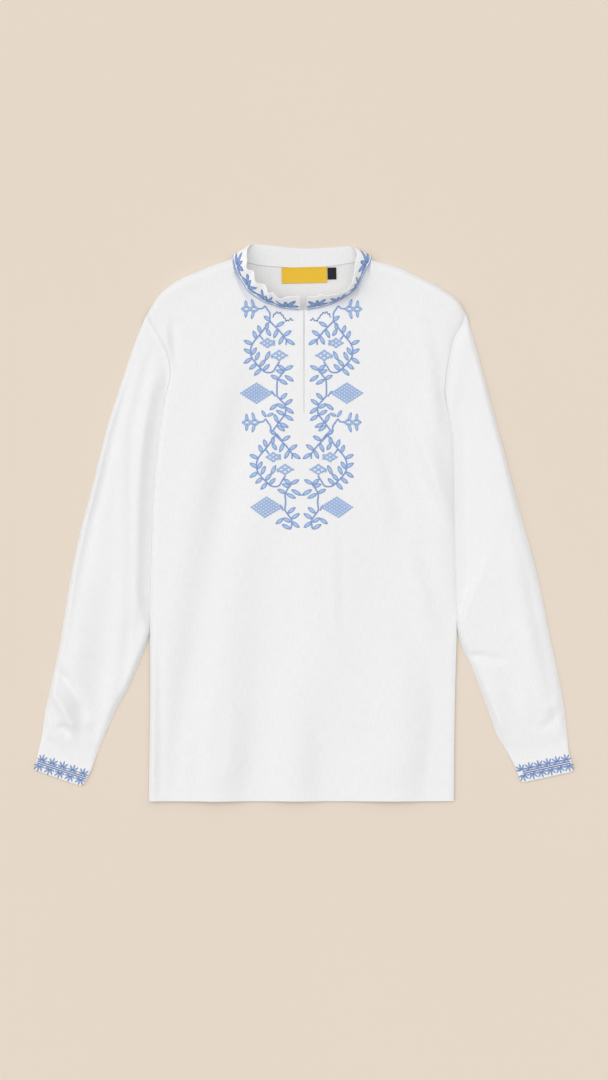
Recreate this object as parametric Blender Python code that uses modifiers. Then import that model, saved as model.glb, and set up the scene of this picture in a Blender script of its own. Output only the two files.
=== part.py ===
"""An embroidered linen shirt laid out flat, front up, on a level surface.

Metres, +Z up, the hem towards -Y and the collar towards +Y. The tables below are in millimetres.
The body is two panels, the front on the back. Each sleeve is a flat tube with a cuff band, and
passes under the edge of the body below the arm. A low band stands round the neck opening.
"""

import math

import bmesh
import bpy
import numpy as np

# Cloth
MM = 0.001
CLOTH = 1.0  # wall of the linen
BAND_CLOTH = 1.6  # wall of the cuffs and the collar, two layers of linen
SEAM_GAP = 0.4  # clearance between two pieces at a seam
LAYER_TOP = 2 * CLOTH + SEAM_GAP  # top of two layers of linen that lie flat

# Body
HEM_Y = -380.5
UNDERARM_Y = 120.0
SLIT_END_Y = 151.0  # lower end of the neck slit
SLIT_HALF_TOP = 0.8
SLIT_HALF_END = 0.4
CHEST_SHOULDER_X = (-92.0, 88.0)  # where the shoulder columns end, on the chest line
ROWS_BELOW = 22  # rows of cells from the hem to the chest line
ROWS_SLIT_TO_CHEST = 2
ROWS_ABOVE = 8
SHOULDER_CELLS = 6
NECK_CELLS = 5
SLEEVE_CLEARANCE = 3.0  # height of the back panel where the sleeve lies under it
FRONT_LOFT = 1.5  # air between front and back, away from the seams

# Side edge of the body, hem to underarm
SIDE = [
    # y, left x, right x
    (-380.5, -212.7, 205.2),
    (-228.0, -211.0, 207.0),
    (-143.0, -211.0, 209.0),
    (-37.0, -208.6, 206.5),
    (32.0, -206.3, 205.0),
    (87.0, -202.0, 204.5),
    (120.0, -198.5, 203.8),
]

# Armhole edge, underarm to shoulder tip
ARMHOLE_LEFT = [
    # x, y
    (-198.5, 120.0),
    (-190.8, 168.9),
    (-183.0, 208.0),
    (-187.5, 231.0),
    (-197.0, 251.0),
    (-210.0, 273.0),
    (-216.0, 284.5),
]
ARMHOLE_RIGHT = [
    # x, y
    (203.8, 120.0),
    (196.9, 155.0),
    (193.0, 177.0),
    (194.2, 201.8),
    (198.5, 228.0),
    (205.0, 254.0),
    (216.1, 273.0),
    (221.6, 286.0),
]

# Shoulder fold, tip to neck
SHOULDER_LEFT = [
    # x, y
    (-216.0, 284.5),
    (-197.6, 314.0),
    (-170.0, 334.6),
    (-142.8, 346.0),
    (-115.4, 357.0),
    (-98.5, 362.0),
]
SHOULDER_RIGHT = [
    # x, y
    (221.6, 286.0),
    (210.6, 305.0),
    (188.0, 322.0),
    (160.0, 336.5),
    (128.0, 351.5),
    (92.0, 360.5),
]

# Neck edge, neck point to the middle
FRONT_NECK_LEFT = [
    # x, y
    (-98.5, 362.0),
    (-93.1, 347.0),
    (-85.7, 331.9),
    (-73.8, 315.4),
    (-60.0, 305.5),
    (-32.0, 295.6),
    (0.0, 291.7),
]
FRONT_NECK_RIGHT = [
    # x, y
    (92.0, 360.5),
    (85.1, 348.0),
    (77.8, 336.4),
    (70.4, 323.0),
    (55.4, 311.3),
    (32.0, 298.5),
    (0.0, 291.7),
]
BACK_NECK_LEFT = [
    # x, y
    (-98.5, 362.0),
    (-80.5, 357.5),
    (-63.4, 353.5),
    (-30.8, 350.5),
    (0.0, 349.7),
]
BACK_NECK_RIGHT = [
    # x, y
    (92.0, 360.5),
    (70.4, 357.5),
    (43.5, 352.7),
    (20.0, 350.3),
    (0.0, 349.7),
]

# Soft folds of the front: troughs below 0, ridges above
FRONT_FOLDS = [
    # x1, y1, x2, y2, half width, height
    (-118.0, 102.0, -152.0, -45.0, 16.0, -1.1),
    (-152.0, -45.0, -167.0, -134.0, 18.0, -1.1),
    (-69.0, -45.0, -93.0, -94.0, 17.0, -1.0),
    (-93.0, -94.0, -137.0, -315.0, 20.0, -1.3),
    (4.0, -237.0, 9.0, -328.0, 18.0, -0.9),
    (102.0, 111.0, 112.0, 43.0, 16.0, -1.1),
    (146.0, -45.0, 165.0, -134.0, 18.0, -1.1),
    (160.0, -193.0, 150.0, -339.0, 20.0, -1.2),
    (178.0, 96.0, 184.0, 28.0, 14.0, 1.6),
    (-40.0, -120.0, -62.0, -300.0, 26.0, 1.3),
    (80.0, -60.0, 92.0, -300.0, 28.0, 1.4),
]

# Sleeves, armhole to cuff. The bow is the share of the armhole's curve that the section keeps,
# and flat is the share of its width that lies under the body.
SLEEVE_LEFT = [
    # outer x, outer y, inner x, inner y, bow, flat, loft
    (-216.6, 284.8, -199.2, 119.8, 1.00, 0.30, 0.0),
    (-233.2, 244.2, -194.0, 76.0, 0.55, 0.30, 1.6),
    (-253.8, 182.6, -192.5, 30.0, 0.20, 0.26, 2.2),
    (-267.5, 141.5, -192.5, -12.0, 0.06, 0.24, 2.5),
    (-278.5, 100.4, -194.0, -52.0, 0.00, 0.22, 2.6),
    (-292.5, 43.0, -199.0, -98.0, 0.00, 0.20, 2.6),
    (-304.5, -2.0, -206.0, -132.0, 0.00, 0.14, 2.6),
    (-316.0, -54.0, -215.0, -163.0, 0.00, 0.04, 2.5),
    (-325.5, -108.0, -226.5, -191.0, 0.00, 0.00, 2.5),
    (-334.0, -160.0, -241.0, -225.0, 0.00, 0.00, 2.5),
    (-343.5, -208.0, -256.0, -252.0, 0.00, 0.00, 2.4),
    (-354.5, -256.0, -270.5, -284.0, 0.00, 0.00, 2.2),
    (-359.5, -292.0, -283.0, -315.0, 0.00, 0.00, 2.2),
    (-364.7, -314.2, -290.7, -337.4, 0.00, 0.00, 1.0),
]
SLEEVE_RIGHT = [
    # outer x, outer y, inner x, inner y, bow, flat, loft
    (222.2, 286.3, 204.5, 119.8, 1.00, 0.30, 0.0),
    (235.0, 244.2, 199.5, 76.0, 0.55, 0.30, 1.6),
    (251.7, 182.6, 196.5, 30.0, 0.20, 0.26, 2.2),
    (262.5, 141.5, 195.5, -12.0, 0.06, 0.24, 2.5),
    (274.0, 100.4, 197.0, -52.0, 0.00, 0.22, 2.6),
    (288.5, 43.0, 201.0, -98.0, 0.00, 0.18, 2.6),
    (301.0, -2.0, 207.5, -136.0, 0.00, 0.12, 2.6),
    (315.5, -54.0, 215.5, -167.0, 0.00, 0.04, 2.5),
    (328.0, -108.0, 227.5, -191.0, 0.00, 0.00, 2.5),
    (338.0, -160.0, 242.0, -228.0, 0.00, 0.00, 2.5),
    (348.5, -208.0, 254.0, -261.0, 0.00, 0.00, 2.4),
    (357.0, -256.0, 265.5, -292.0, 0.00, 0.00, 2.2),
    (361.0, -292.0, 278.0, -313.0, 0.00, 0.00, 2.2),
    (363.0, -313.0, 287.3, -329.6, 0.00, 0.00, 1.0),
]
SLEEVE_STATIONS = 24
SLEEVE_EDGE_SHARE = 0.022  # first point in from the folded edge, as a share of the width
SLEEVE_FOLDS_LEFT = [
    # x1, y1, x2, y2, half width, height
    (-228.0, 214.0, -256.0, 110.0, 14.0, 1.0),
    (-256.0, 110.0, -291.0, 0.0, 15.0, 1.0),
    (-222.0, 120.0, -238.0, -60.0, 13.0, 1.0),
    (-240.0, -80.0, -252.0, -225.0, 16.0, 1.0),
    (-333.0, -197.0, -289.0, -256.0, 14.0, 1.0),
    (-352.0, -240.0, -329.0, -275.0, 12.0, 1.0),
]
SLEEVE_FOLDS_RIGHT = [
    # x1, y1, x2, y2, half width, height
    (231.0, 220.0, 246.0, 120.0, 14.0, 1.0),
    (246.0, 120.0, 284.0, -20.0, 15.0, 1.0),
    (296.0, -60.0, 300.0, -170.0, 18.0, 1.0),
    (224.0, -183.0, 268.0, -186.0, 12.0, 1.0),
    (255.0, -246.0, 312.0, -290.0, 14.0, 1.0),
    (351.0, -262.0, 330.0, -284.0, 12.0, 1.0),
]

# Cuffs, sleeve end to free edge
CUFF_LEFT = [
    # outer x, outer y, inner x, inner y
    (-364.8, -314.6, -290.8, -337.8),
    (-366.9, -326.5, -297.2, -349.5),
    (-369.1, -338.0, -303.4, -361.3),
]
CUFF_RIGHT = [
    # outer x, outer y, inner x, inner y
    (363.1, -313.4, 287.4, -330.0),
    (366.4, -327.0, 292.3, -343.0),
    (369.1, -340.4, 297.2, -356.0),
]
CUFF_CELLS = 12
CUFF_GAP = 0.5  # air between the two sides of the cuff
CUFF_EDGE_SHARE = 0.035

# Collar band, from the left end of the slit round the back to the right end. The seam side
# meets the body and the free side is open. The back lies flat and the front stands up.
COLLAR = [
    # seam x, seam y, seam z, free x, free y, free z
    (-5.1, 291.7, 3.4, -5.4, 309.0, 23.6),
    (-32.0, 295.6, 3.4, -36.5, 308.4, 26.2),
    (-61.0, 306.3, 3.4, -52.4, 320.8, 24.2),
    (-74.5, 315.8, 3.4, -63.6, 330.0, 23.6),
    (-86.2, 331.9, 3.4, -72.8, 344.8, 22.9),
    (-93.8, 347.0, 3.4, -79.2, 357.8, 22.2),
    (-97.2, 358.0, 3.4, -77.5, 368.5, 17.5),
    (-98.6, 363.2, 3.4, -75.5, 375.4, 11.0),
    (-98.0, 366.0, 2.2, -73.0, 379.2, 5.4),
    (-92.0, 363.4, 0.8, -69.0, 379.8, 1.8),
    (-81.0, 358.6, 0.8, -64.0, 379.6, 0.8),
    (-63.4, 354.3, 0.8, -54.0, 378.8, 0.8),
    (-30.8, 351.2, 0.8, -29.0, 377.2, 0.8),
    (0.0, 350.4, 0.8, -1.0, 376.6, 0.8),
    (43.5, 353.4, 0.8, 37.5, 378.2, 0.8),
    (70.4, 358.4, 0.8, 56.5, 379.4, 0.8),
    (86.5, 362.6, 0.8, 63.5, 379.2, 1.8),
    (93.2, 364.8, 2.2, 68.0, 377.8, 5.4),
    (93.4, 361.6, 3.4, 70.4, 373.0, 11.0),
    (91.2, 356.5, 3.4, 71.6, 364.8, 17.5),
    (86.0, 348.2, 3.4, 69.6, 351.8, 22.6),
    (78.6, 336.2, 3.4, 66.6, 335.4, 26.4),
    (71.0, 322.6, 3.4, 64.2, 323.6, 28.4),
    (55.6, 310.6, 3.4, 52.0, 313.4, 28.8),
    (41.0, 302.0, 3.4, 39.4, 310.8, 27.8),
    (25.0, 296.4, 3.4, 24.4, 310.6, 25.6),
    (3.7, 292.0, 3.4, 3.5, 307.8, 24.4),
]
COLLAR_STATIONS = 66
COLLAR_ROWS = 3
COLLAR_BOW = 1.2  # how far the middle of the band bulges out of its face

# Label and size tab inside the back of the neck
LABEL_SIZE = (62.0, 22.0, 0.8)
LABEL_CENTRE = (0.5, 337.4)
TAB_SIZE = (12.0, 16.5, 0.6)
TAB_CENTRE = (38.6, 341.4)
PATCH_BEVEL = 0.25

LINEN = (0.88, 0.88, 0.87, 1.0)
LABEL_YELLOW = (0.86, 0.62, 0.08, 1.0)
TAB_BLACK = (0.02, 0.02, 0.022, 1.0)


def clear_scene():
    for thing in list(bpy.data.objects):
        bpy.data.objects.remove(thing, do_unlink=True)


def make_material(name, colour, roughness):
    material = bpy.data.materials.new(name)
    material.use_nodes = True
    shader = material.node_tree.nodes["Principled BSDF"]
    shader.inputs["Base Color"].default_value = colour
    shader.inputs["Roughness"].default_value = roughness
    shader.inputs["Metallic"].default_value = 0.0
    return material


def smooth_step(value):
    value = np.clip(value, 0.0, 1.0)
    return value * value * (3.0 - 2.0 * value)


def smooth_curve(rows, shares, reach=None):
    """Points at the given shares of a smooth curve through the rows.

    reach is the number of columns, from the first, that measure the distance along the curve.
    """
    rows = np.array(rows, dtype=float)
    measured = rows[:, :reach]
    steps = np.linalg.norm(np.diff(measured, axis=0), axis=1)
    knots = np.concatenate([[0.0], np.cumsum(steps)])
    slopes = np.gradient(rows, knots, axis=0)
    places = np.asarray(shares) * knots[-1]
    index = np.clip(np.searchsorted(knots, places, side="right") - 1, 0, len(rows) - 2)
    span = knots[index + 1] - knots[index]
    t = ((places - knots[index]) / span)[:, None]
    span = span[:, None]
    start = (2 * t**3 - 3 * t**2 + 1) * rows[index] + (t**3 - 2 * t**2 + t) * span * slopes[index]
    end = (3 * t**2 - 2 * t**3) * rows[index + 1] + (t**3 - t**2) * span * slopes[index + 1]
    return start + end


def fold_height(folds, x, y):
    """Height that the soft folds add at each point."""
    total = np.zeros_like(x)
    for x1, y1, x2, y2, half_width, height in folds:
        length = math.hypot(x2 - x1, y2 - y1)
        along = ((x - x1) * (x2 - x1) + (y - y1) * (y2 - y1)) / length**2
        across = ((x - x1) * (y2 - y1) - (y - y1) * (x2 - x1)) / length
        ends = smooth_step((along + 0.15) / 0.3) * smooth_step((1.15 - along) / 0.3)
        total += height * ends * np.exp(-((across / half_width) ** 2))
    return total


def row_shares():
    """Shares of the height from the chest line to the shoulder at which the rows lie."""
    slit = (SLIT_END_Y - UNDERARM_Y) / (FRONT_NECK_LEFT[-1][1] - UNDERARM_Y)
    below = np.linspace(0.0, slit, ROWS_SLIT_TO_CHEST + 1)
    above = np.linspace(slit, 1.0, ROWS_ABOVE + 1)
    return np.concatenate([below, above[1:]])


def half_upper_grid(armhole, shoulder, neck, chest_shoulder_x, side):
    """Grid of one half above the chest line: rows from the chest up, columns from the armhole in."""
    v = row_shares()
    outer = smooth_curve(armhole, v)
    top_shoulder = smooth_curve(shoulder, np.linspace(0, 1, SHOULDER_CELLS + 1))
    neck = [row for row in neck]
    neck[-1] = (side * SLIT_HALF_TOP, neck[-1][1])
    top_neck = smooth_curve(neck, np.linspace(0, 1, NECK_CELLS + 1))
    top = np.vstack([top_shoulder, top_neck[1:]])
    chest_x = np.concatenate(
        [
            np.linspace(armhole[0][0], chest_shoulder_x, SHOULDER_CELLS + 1),
            np.linspace(chest_shoulder_x, side * SLIT_HALF_END, NECK_CELLS + 1)[1:],
        ]
    )
    bottom = np.column_stack([chest_x, np.full(len(chest_x), UNDERARM_Y)])
    inner = bottom[-1] + v[:, None] * (top[-1] - bottom[-1])
    u = (chest_x - chest_x[0]) / (chest_x[-1] - chest_x[0])
    grid = np.zeros((len(v), len(u), 2))
    for row, share_v in enumerate(v):
        for column, share_u in enumerate(u):
            ends = (1 - share_u) * outer[row] + share_u * inner[row]
            sides = (1 - share_v) * bottom[column] + share_v * top[column]
            corners = (1 - share_v) * ((1 - share_u) * bottom[0] + share_u * bottom[-1])
            corners += share_v * ((1 - share_u) * top[0] + share_u * top[-1])
            grid[row, column] = ends + sides - corners
    return grid


def lower_grid(chest_row):
    """Grid below the chest line: rows from the hem up, columns as on the chest line."""
    side = np.array(SIDE)
    y = np.linspace(HEM_Y, UNDERARM_Y, ROWS_BELOW + 1)
    left = smooth_curve(side[:, [1, 0]], (y - HEM_Y) / (UNDERARM_Y - HEM_Y))[:, 0]
    right = smooth_curve(side[:, [2, 0]], (y - HEM_Y) / (UNDERARM_Y - HEM_Y))[:, 0]
    share = (chest_row[:, 0] - chest_row[0, 0]) / (chest_row[-1, 0] - chest_row[0, 0])
    grid = np.zeros((len(y), len(share), 2))
    grid[:, :, 0] = left[:, None] + share[None, :] * (right - left)[:, None]
    grid[:, :, 1] = y[:, None]
    return grid


def body_grid(neck_left, neck_right):
    """Plan of a body panel: rows from the hem to the shoulder, columns from left to right."""
    left = half_upper_grid(ARMHOLE_LEFT, SHOULDER_LEFT, neck_left, CHEST_SHOULDER_X[0], -1)
    right = half_upper_grid(ARMHOLE_RIGHT, SHOULDER_RIGHT, neck_right, CHEST_SHOULDER_X[1], 1)
    upper = np.concatenate([left, right[:, ::-1]], axis=1)
    return np.concatenate([lower_grid(upper[0])[:-1], upper])


def edge_distances(grid):
    """Distance of each point from the side edges, the top edge and the hem."""
    from_left = np.linalg.norm(grid - grid[:, :1], axis=2)
    from_right = np.linalg.norm(grid - grid[:, -1:], axis=2)
    from_top = np.linalg.norm(grid - grid[-1:], axis=2)
    return np.minimum(from_left, from_right), from_top, grid[:, :, 1] - HEM_Y


def body_lift(grid):
    """Height of the underside, raised where a sleeve lies under the edge of the body."""
    sides, _, _ = edge_distances(grid)
    y = grid[:, :, 1]
    inward = 1.0 - smooth_step((sides - 20.0) / 45.0)
    upper_end = 1.0 - smooth_step((y - 140.0) / 75.0)
    lower_end = smooth_step((y + 235.0) / 72.0)
    return SLEEVE_CLEARANCE * inward * upper_end * lower_end


def new_object(name, vertices, faces, material, collection):
    mesh = bpy.data.meshes.new(name)
    mesh.from_pydata([tuple(MM * value for value in vertex) for vertex in vertices], [], faces)
    mesh.materials.append(material)
    piece = bpy.data.objects.new(name, mesh)
    collection.objects.link(piece)
    return piece


def face_outward(piece):
    """Make the faces of a closed piece point out, or those of an open sheet point up."""
    work = bmesh.new()
    work.from_mesh(piece.data)
    bmesh.ops.recalc_face_normals(work, faces=work.faces[:])
    if any(edge.is_boundary for edge in work.edges):
        if sum(face.normal.z * face.calc_area() for face in work.faces) < 0:
            bmesh.ops.reverse_faces(work, faces=work.faces[:])
    work.to_mesh(piece.data)
    work.free()


def thicken(piece, thickness, offset):
    solidify = piece.modifiers.new("Cloth", "SOLIDIFY")
    solidify.thickness = thickness * MM
    solidify.offset = offset
    solidify.use_even_offset = False
    piece.data.shade_smooth()


def add_panel(name, grid, top, slit, material, collection):
    """A body panel: its top surface as an open sheet, thickened downwards."""
    rows, columns = grid.shape[:2]
    vertices = [(*grid[r, c], top[r, c]) for r in range(rows) for c in range(columns)]
    slit_column = SHOULDER_CELLS + NECK_CELLS
    slit_row = ROWS_BELOW + ROWS_SLIT_TO_CHEST
    faces = []
    for r in range(rows - 1):
        for c in range(columns - 1):
            if slit and c == slit_column and r >= slit_row:
                continue
            corner = r * columns + c
            faces.append((corner, corner + 1, corner + columns + 1, corner + columns))
    piece = new_object(name, vertices, faces, material, collection)
    face_outward(piece)
    thicken(piece, CLOTH, -1.0)
    return piece


def add_body(linen, collection):
    back = body_grid(BACK_NECK_LEFT, BACK_NECK_RIGHT)
    add_panel("back_panel", back, body_lift(back) + CLOTH, False, linen, collection)

    front = body_grid(FRONT_NECK_LEFT, FRONT_NECK_RIGHT)
    sides, from_top, from_hem = edge_distances(front)
    inside = smooth_step(sides / 35.0) * smooth_step(from_top / 35.0) * smooth_step(from_hem / 30.0)
    loft = FRONT_LOFT + fold_height(FRONT_FOLDS, front[:, :, 0], front[:, :, 1])
    top = body_lift(front) + LAYER_TOP + inside * np.maximum(loft, 0.0)
    add_panel("front_panel", front, top, True, linen, collection)


def ring(plan, upper, lower, edge):
    """Points of one flat ring: over the top from the outer edge to the inner, and back under."""
    last = len(plan) - 1
    over = [(*plan[k], edge if k in (0, last) else upper[k]) for k in range(last + 1)]
    under = [(*plan[k], lower) for k in range(last - 1, 0, -1)]
    return over + under


def add_tube(name, outer_rings, inner_rings, material, collection):
    """A tube of cloth: outer and inner skins lofted through their rings, joined at both ends."""
    count = len(outer_rings[0])
    stations = len(outer_rings)
    vertices = [point for one in outer_rings for point in one]
    vertices += [point for one in inner_rings for point in one]
    offset = stations * count
    faces = []
    for s in range(stations - 1):
        for k in range(count):
            a = s * count + k
            b = s * count + (k + 1) % count
            faces.append((a, b, b + count, a + count))
            faces.append((offset + a, offset + a + count, offset + b + count, offset + b))
    for start in (0, (stations - 1) * count):
        for k in range(count):
            a = start + k
            b = start + (k + 1) % count
            faces.append((a, b, offset + b, offset + a))
    piece = new_object(name, vertices, faces, material, collection)
    face_outward(piece)
    piece.data.shade_smooth()
    return piece


def sleeve_shares():
    shares = row_shares()[::-1]
    shares = 1.0 - shares
    return np.concatenate([[0.0, SLEEVE_EDGE_SHARE], shares[1:-1], [1.0 - SLEEVE_EDGE_SHARE, 1.0]])


def add_sleeve(name, sections, armhole, folds, outward, linen, collection):
    """A sleeve from the armhole to the cuff, each ring between its outer and its inner edge."""
    stations = smooth_curve(sections, np.linspace(0, 1, SLEEVE_STATIONS), reach=4)
    shares = sleeve_shares()
    row_share = 1.0 - row_shares()[::-1]
    hole = smooth_curve(armhole, 1.0 - row_share) + np.array([0.5 * outward, 0.0])
    straight = hole[0] + row_share[:, None] * (hole[-1] - hole[0])
    bow_at_rows = hole - straight
    outer_rings = []
    inner_rings = []
    for outer_x, outer_y, inner_x, inner_y, bow, flat, loft in stations:
        outer = np.array([outer_x, outer_y])
        inner = np.array([inner_x, inner_y])
        width = np.linalg.norm(inner - outer)

        def plan_at(places):
            bend = [np.interp(places, row_share, bow_at_rows[:, axis]) for axis in (0, 1)]
            return outer + places[:, None] * (inner - outer) + bow * np.column_stack(bend)

        def top_at(places, plan):
            visible = max(1.0 - flat, 0.1)
            swell = np.sin(math.pi * np.clip(places / visible, 0.0, 1.0)) ** 0.7
            height = loft + np.minimum(loft, 1.0) * fold_height(folds, plan[:, 0], plan[:, 1])
            return LAYER_TOP + swell * np.maximum(height, 0.0)

        plan = plan_at(shares)
        outer_rings.append(ring(plan, top_at(shares, plan), 0.0, LAYER_TOP / 2))
        inset = 1.5 * CLOTH / width
        inner_shares = inset + (1.0 - 2.0 * inset) * shares
        inner_plan = plan_at(inner_shares)
        inner_top = top_at(inner_shares, inner_plan) - CLOTH
        inner_rings.append(ring(inner_plan, inner_top, CLOTH, LAYER_TOP / 2))
    add_tube(name, outer_rings, inner_rings, linen, collection)


def add_cuff(name, sections, linen, collection):
    """A cuff: a flat band of double cloth, open at both ends."""
    top = 2 * BAND_CLOTH + CUFF_GAP
    shares = np.linspace(0.0, 1.0, CUFF_CELLS - 1)
    shares = np.concatenate([[0.0, CUFF_EDGE_SHARE], shares[1:-1], [1.0 - CUFF_EDGE_SHARE, 1.0]])
    outer_rings = []
    inner_rings = []
    for outer_x, outer_y, inner_x, inner_y in sections:
        outer = np.array([outer_x, outer_y])
        inner = np.array([inner_x, inner_y])
        inset = 1.3 * BAND_CLOTH / np.linalg.norm(inner - outer)
        inner_shares = inset + (1.0 - 2.0 * inset) * shares
        plan = outer + shares[:, None] * (inner - outer)
        inner_plan = outer + inner_shares[:, None] * (inner - outer)
        full = np.full(len(shares), top)
        outer_rings.append(ring(plan, full, 0.0, top / 2))
        inner_rings.append(ring(inner_plan, full - BAND_CLOTH, BAND_CLOTH, top / 2))
    add_tube(name, outer_rings, inner_rings, linen, collection)


def add_collar(linen, collection):
    """The collar band: an open strip through its sections, thickened both ways."""
    stations = smooth_curve(COLLAR, np.linspace(0, 1, COLLAR_STATIONS))
    seam = stations[:, :3]
    free = stations[:, 3:]
    along = np.gradient(seam + free, axis=0)
    outward = np.cross(free - seam, along)
    outward /= np.linalg.norm(outward, axis=1)[:, None]
    standing = smooth_step((free[:, 2] - 3.0) / 12.0)
    vertices = []
    for k in range(COLLAR_STATIONS):
        for row in range(COLLAR_ROWS + 1):
            share = row / COLLAR_ROWS
            bulge = COLLAR_BOW * standing[k] * math.sin(math.pi * share)
            vertices.append(seam[k] + share * (free[k] - seam[k]) + bulge * outward[k])
    across = COLLAR_ROWS + 1
    faces = []
    for k in range(COLLAR_STATIONS - 1):
        for row in range(COLLAR_ROWS):
            a = k * across + row
            faces.append((a, a + 1, a + across + 1, a + across))
    piece = new_object("collar_band", vertices, faces, linen, collection)
    face_outward(piece)
    thicken(piece, BAND_CLOTH, 0.0)


def add_patch(name, size, centre, material, collection):
    """A flat sewn-on patch that lies on the inside of the back panel."""
    work = bmesh.new()
    bmesh.ops.create_cube(work, size=1.0)
    bmesh.ops.scale(work, vec=[MM * side for side in size], verts=work.verts[:])
    mesh = bpy.data.meshes.new(name)
    work.to_mesh(mesh)
    work.free()
    mesh.materials.append(material)
    patch = bpy.data.objects.new(name, mesh)
    floor = CLOTH + SEAM_GAP
    patch.location = [MM * value for value in (*centre, floor + size[2] / 2)]
    collection.objects.link(patch)
    bevel = patch.modifiers.new("Edges", "BEVEL")
    bevel.width = PATCH_BEVEL * MM
    bevel.segments = 1


def build():
    clear_scene()
    shirt = bpy.data.collections.new("vyshyvanka_shirt")
    bpy.context.scene.collection.children.link(shirt)
    linen = make_material("linen", LINEN, 0.9)
    yellow = make_material("label_cloth", LABEL_YELLOW, 0.8)
    black = make_material("tab_cloth", TAB_BLACK, 0.8)

    add_body(linen, shirt)
    add_sleeve("sleeve_left", SLEEVE_LEFT, ARMHOLE_LEFT, SLEEVE_FOLDS_LEFT, -1, linen, shirt)
    add_sleeve("sleeve_right", SLEEVE_RIGHT, ARMHOLE_RIGHT, SLEEVE_FOLDS_RIGHT, 1, linen, shirt)
    add_cuff("cuff_left", CUFF_LEFT, linen, shirt)
    add_cuff("cuff_right", CUFF_RIGHT, linen, shirt)
    add_collar(linen, shirt)
    add_patch("neck_label", LABEL_SIZE, LABEL_CENTRE, yellow, shirt)
    add_patch("size_tab", TAB_SIZE, TAB_CENTRE, black, shirt)


build()
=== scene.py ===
import math

import bpy
import numpy as np
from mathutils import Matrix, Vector
from mathutils.bvhtree import BVHTree


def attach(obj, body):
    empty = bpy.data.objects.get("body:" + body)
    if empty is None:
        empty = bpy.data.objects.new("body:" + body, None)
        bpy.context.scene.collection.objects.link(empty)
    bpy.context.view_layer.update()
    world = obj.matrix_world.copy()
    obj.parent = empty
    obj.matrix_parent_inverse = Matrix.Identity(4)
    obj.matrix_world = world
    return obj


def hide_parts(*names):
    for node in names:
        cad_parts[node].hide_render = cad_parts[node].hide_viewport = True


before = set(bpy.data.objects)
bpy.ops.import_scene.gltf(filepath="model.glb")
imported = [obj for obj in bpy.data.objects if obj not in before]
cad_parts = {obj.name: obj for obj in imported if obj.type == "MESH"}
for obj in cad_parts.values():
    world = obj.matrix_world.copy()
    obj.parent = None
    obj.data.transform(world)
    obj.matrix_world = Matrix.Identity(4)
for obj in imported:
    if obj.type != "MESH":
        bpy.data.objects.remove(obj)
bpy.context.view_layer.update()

# A linen shirt with blue embroidery, laid flat with its front up.
# Lengths in the dictionaries are millimetres: +X right, +Y to the collar, +Z up.
mm = 0.001
root = "root"


# Shared tools

def deselectAll():
    if bpy.context.object and bpy.context.object.mode != "OBJECT":
        bpy.ops.object.mode_set(mode="OBJECT")
    bpy.ops.object.select_all(action="DESELECT")


def pickOnly(piece):
    deselectAll()
    piece.select_set(True)
    bpy.context.view_layer.objects.active = piece


def smoothStep(value):
    value = np.clip(value, 0.0, 1.0)
    return value * value * (3.0 - 2.0 * value)


def smoothCurve(rows, shares, reach=None):  # points at shares of the length of a smooth curve
    rows = np.array(rows, dtype=float)
    steps = np.linalg.norm(np.diff(rows[:, :reach], axis=0), axis=1)
    knots = np.concatenate([[0.0], np.cumsum(steps)])
    slopes = np.gradient(rows, knots, axis=0)
    places = np.asarray(shares) * knots[-1]
    index = np.clip(np.searchsorted(knots, places, side="right") - 1, 0, len(rows) - 2)
    span = (knots[index + 1] - knots[index])[:, None]
    t = (places - knots[index])[:, None] / span
    start = (2 * t**3 - 3 * t**2 + 1) * rows[index] + (t**3 - 2 * t**2 + t) * span * slopes[index]
    end = (3 * t**2 - 2 * t**3) * rows[index + 1] + (t**3 - t**2) * span * slopes[index + 1]
    return start + end


def softNoise(x, y, size, seed):  # smooth hills about 1 high, size mm apart
    lattice = np.random.default_rng(seed).uniform(-1.0, 1.0, (64, 64))
    column, row = np.asarray(x) / size + 900.0, np.asarray(y) / size + 900.0
    c0, r0 = np.floor(column).astype(int), np.floor(row).astype(int)
    fc, fr = smoothStep(column - c0), smoothStep(row - r0)
    c1, r1 = (c0 + 1) % 64, (r0 + 1) % 64
    c0, r0 = c0 % 64, r0 % 64
    low = lattice[r0, c0] * (1 - fc) + lattice[r0, c1] * fc
    high = lattice[r1, c0] * (1 - fc) + lattice[r1, c1] * fc
    return low * (1 - fr) + high * fr


def foldHeight(folds, x, y):  # each fold is a soft trough or ridge along a line
    total = np.zeros_like(x)
    for x1, y1, x2, y2, halfWidth, height in folds:
        length = math.hypot(x2 - x1, y2 - y1)
        along = ((x - x1) * (x2 - x1) + (y - y1) * (y2 - y1)) / length**2
        across = ((x - x1) * (y2 - y1) - (y - y1) * (x2 - x1)) / length
        across = across + 0.25 * halfWidth * np.sin(along * 5.0 + x1)
        ends = smoothStep((along + 0.2) / 0.4) * smoothStep((1.2 - along) / 0.4)
        total += height * ends * np.exp(-((across / halfWidth) ** 2))
    return total


def creaseHeight(creases, x, y):  # each crease runs down the cloth and falls away to its right
    total = np.zeros_like(x)
    for halfWidth, points in creases:
        line = smoothCurve(points, np.linspace(1.0, 0.0, 60))
        across = (x - np.interp(y, line[:, 0], line[:, 1])) / halfWidth
        height = np.interp(y, line[:, 0], line[:, 2], left=0.0 if line[0, 2] < 0.6 else line[0, 2])
        total -= 1.65 * height * across * np.exp(-(across**2))
    return total


def quarterRound(distance, radius):  # 0 at a folded edge, 1 from one radius in
    t = np.clip(distance / radius, 0.0, 1.0)
    return np.sqrt(np.maximum(1.0 - (1.0 - t) ** 2, 0.0))


def smoothShaded(piece):  # soft over the cloth, crisp at a cut or folded edge
    pickOnly(piece)
    bpy.ops.object.shade_smooth_by_angle(angle=math.radians(50))


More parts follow.
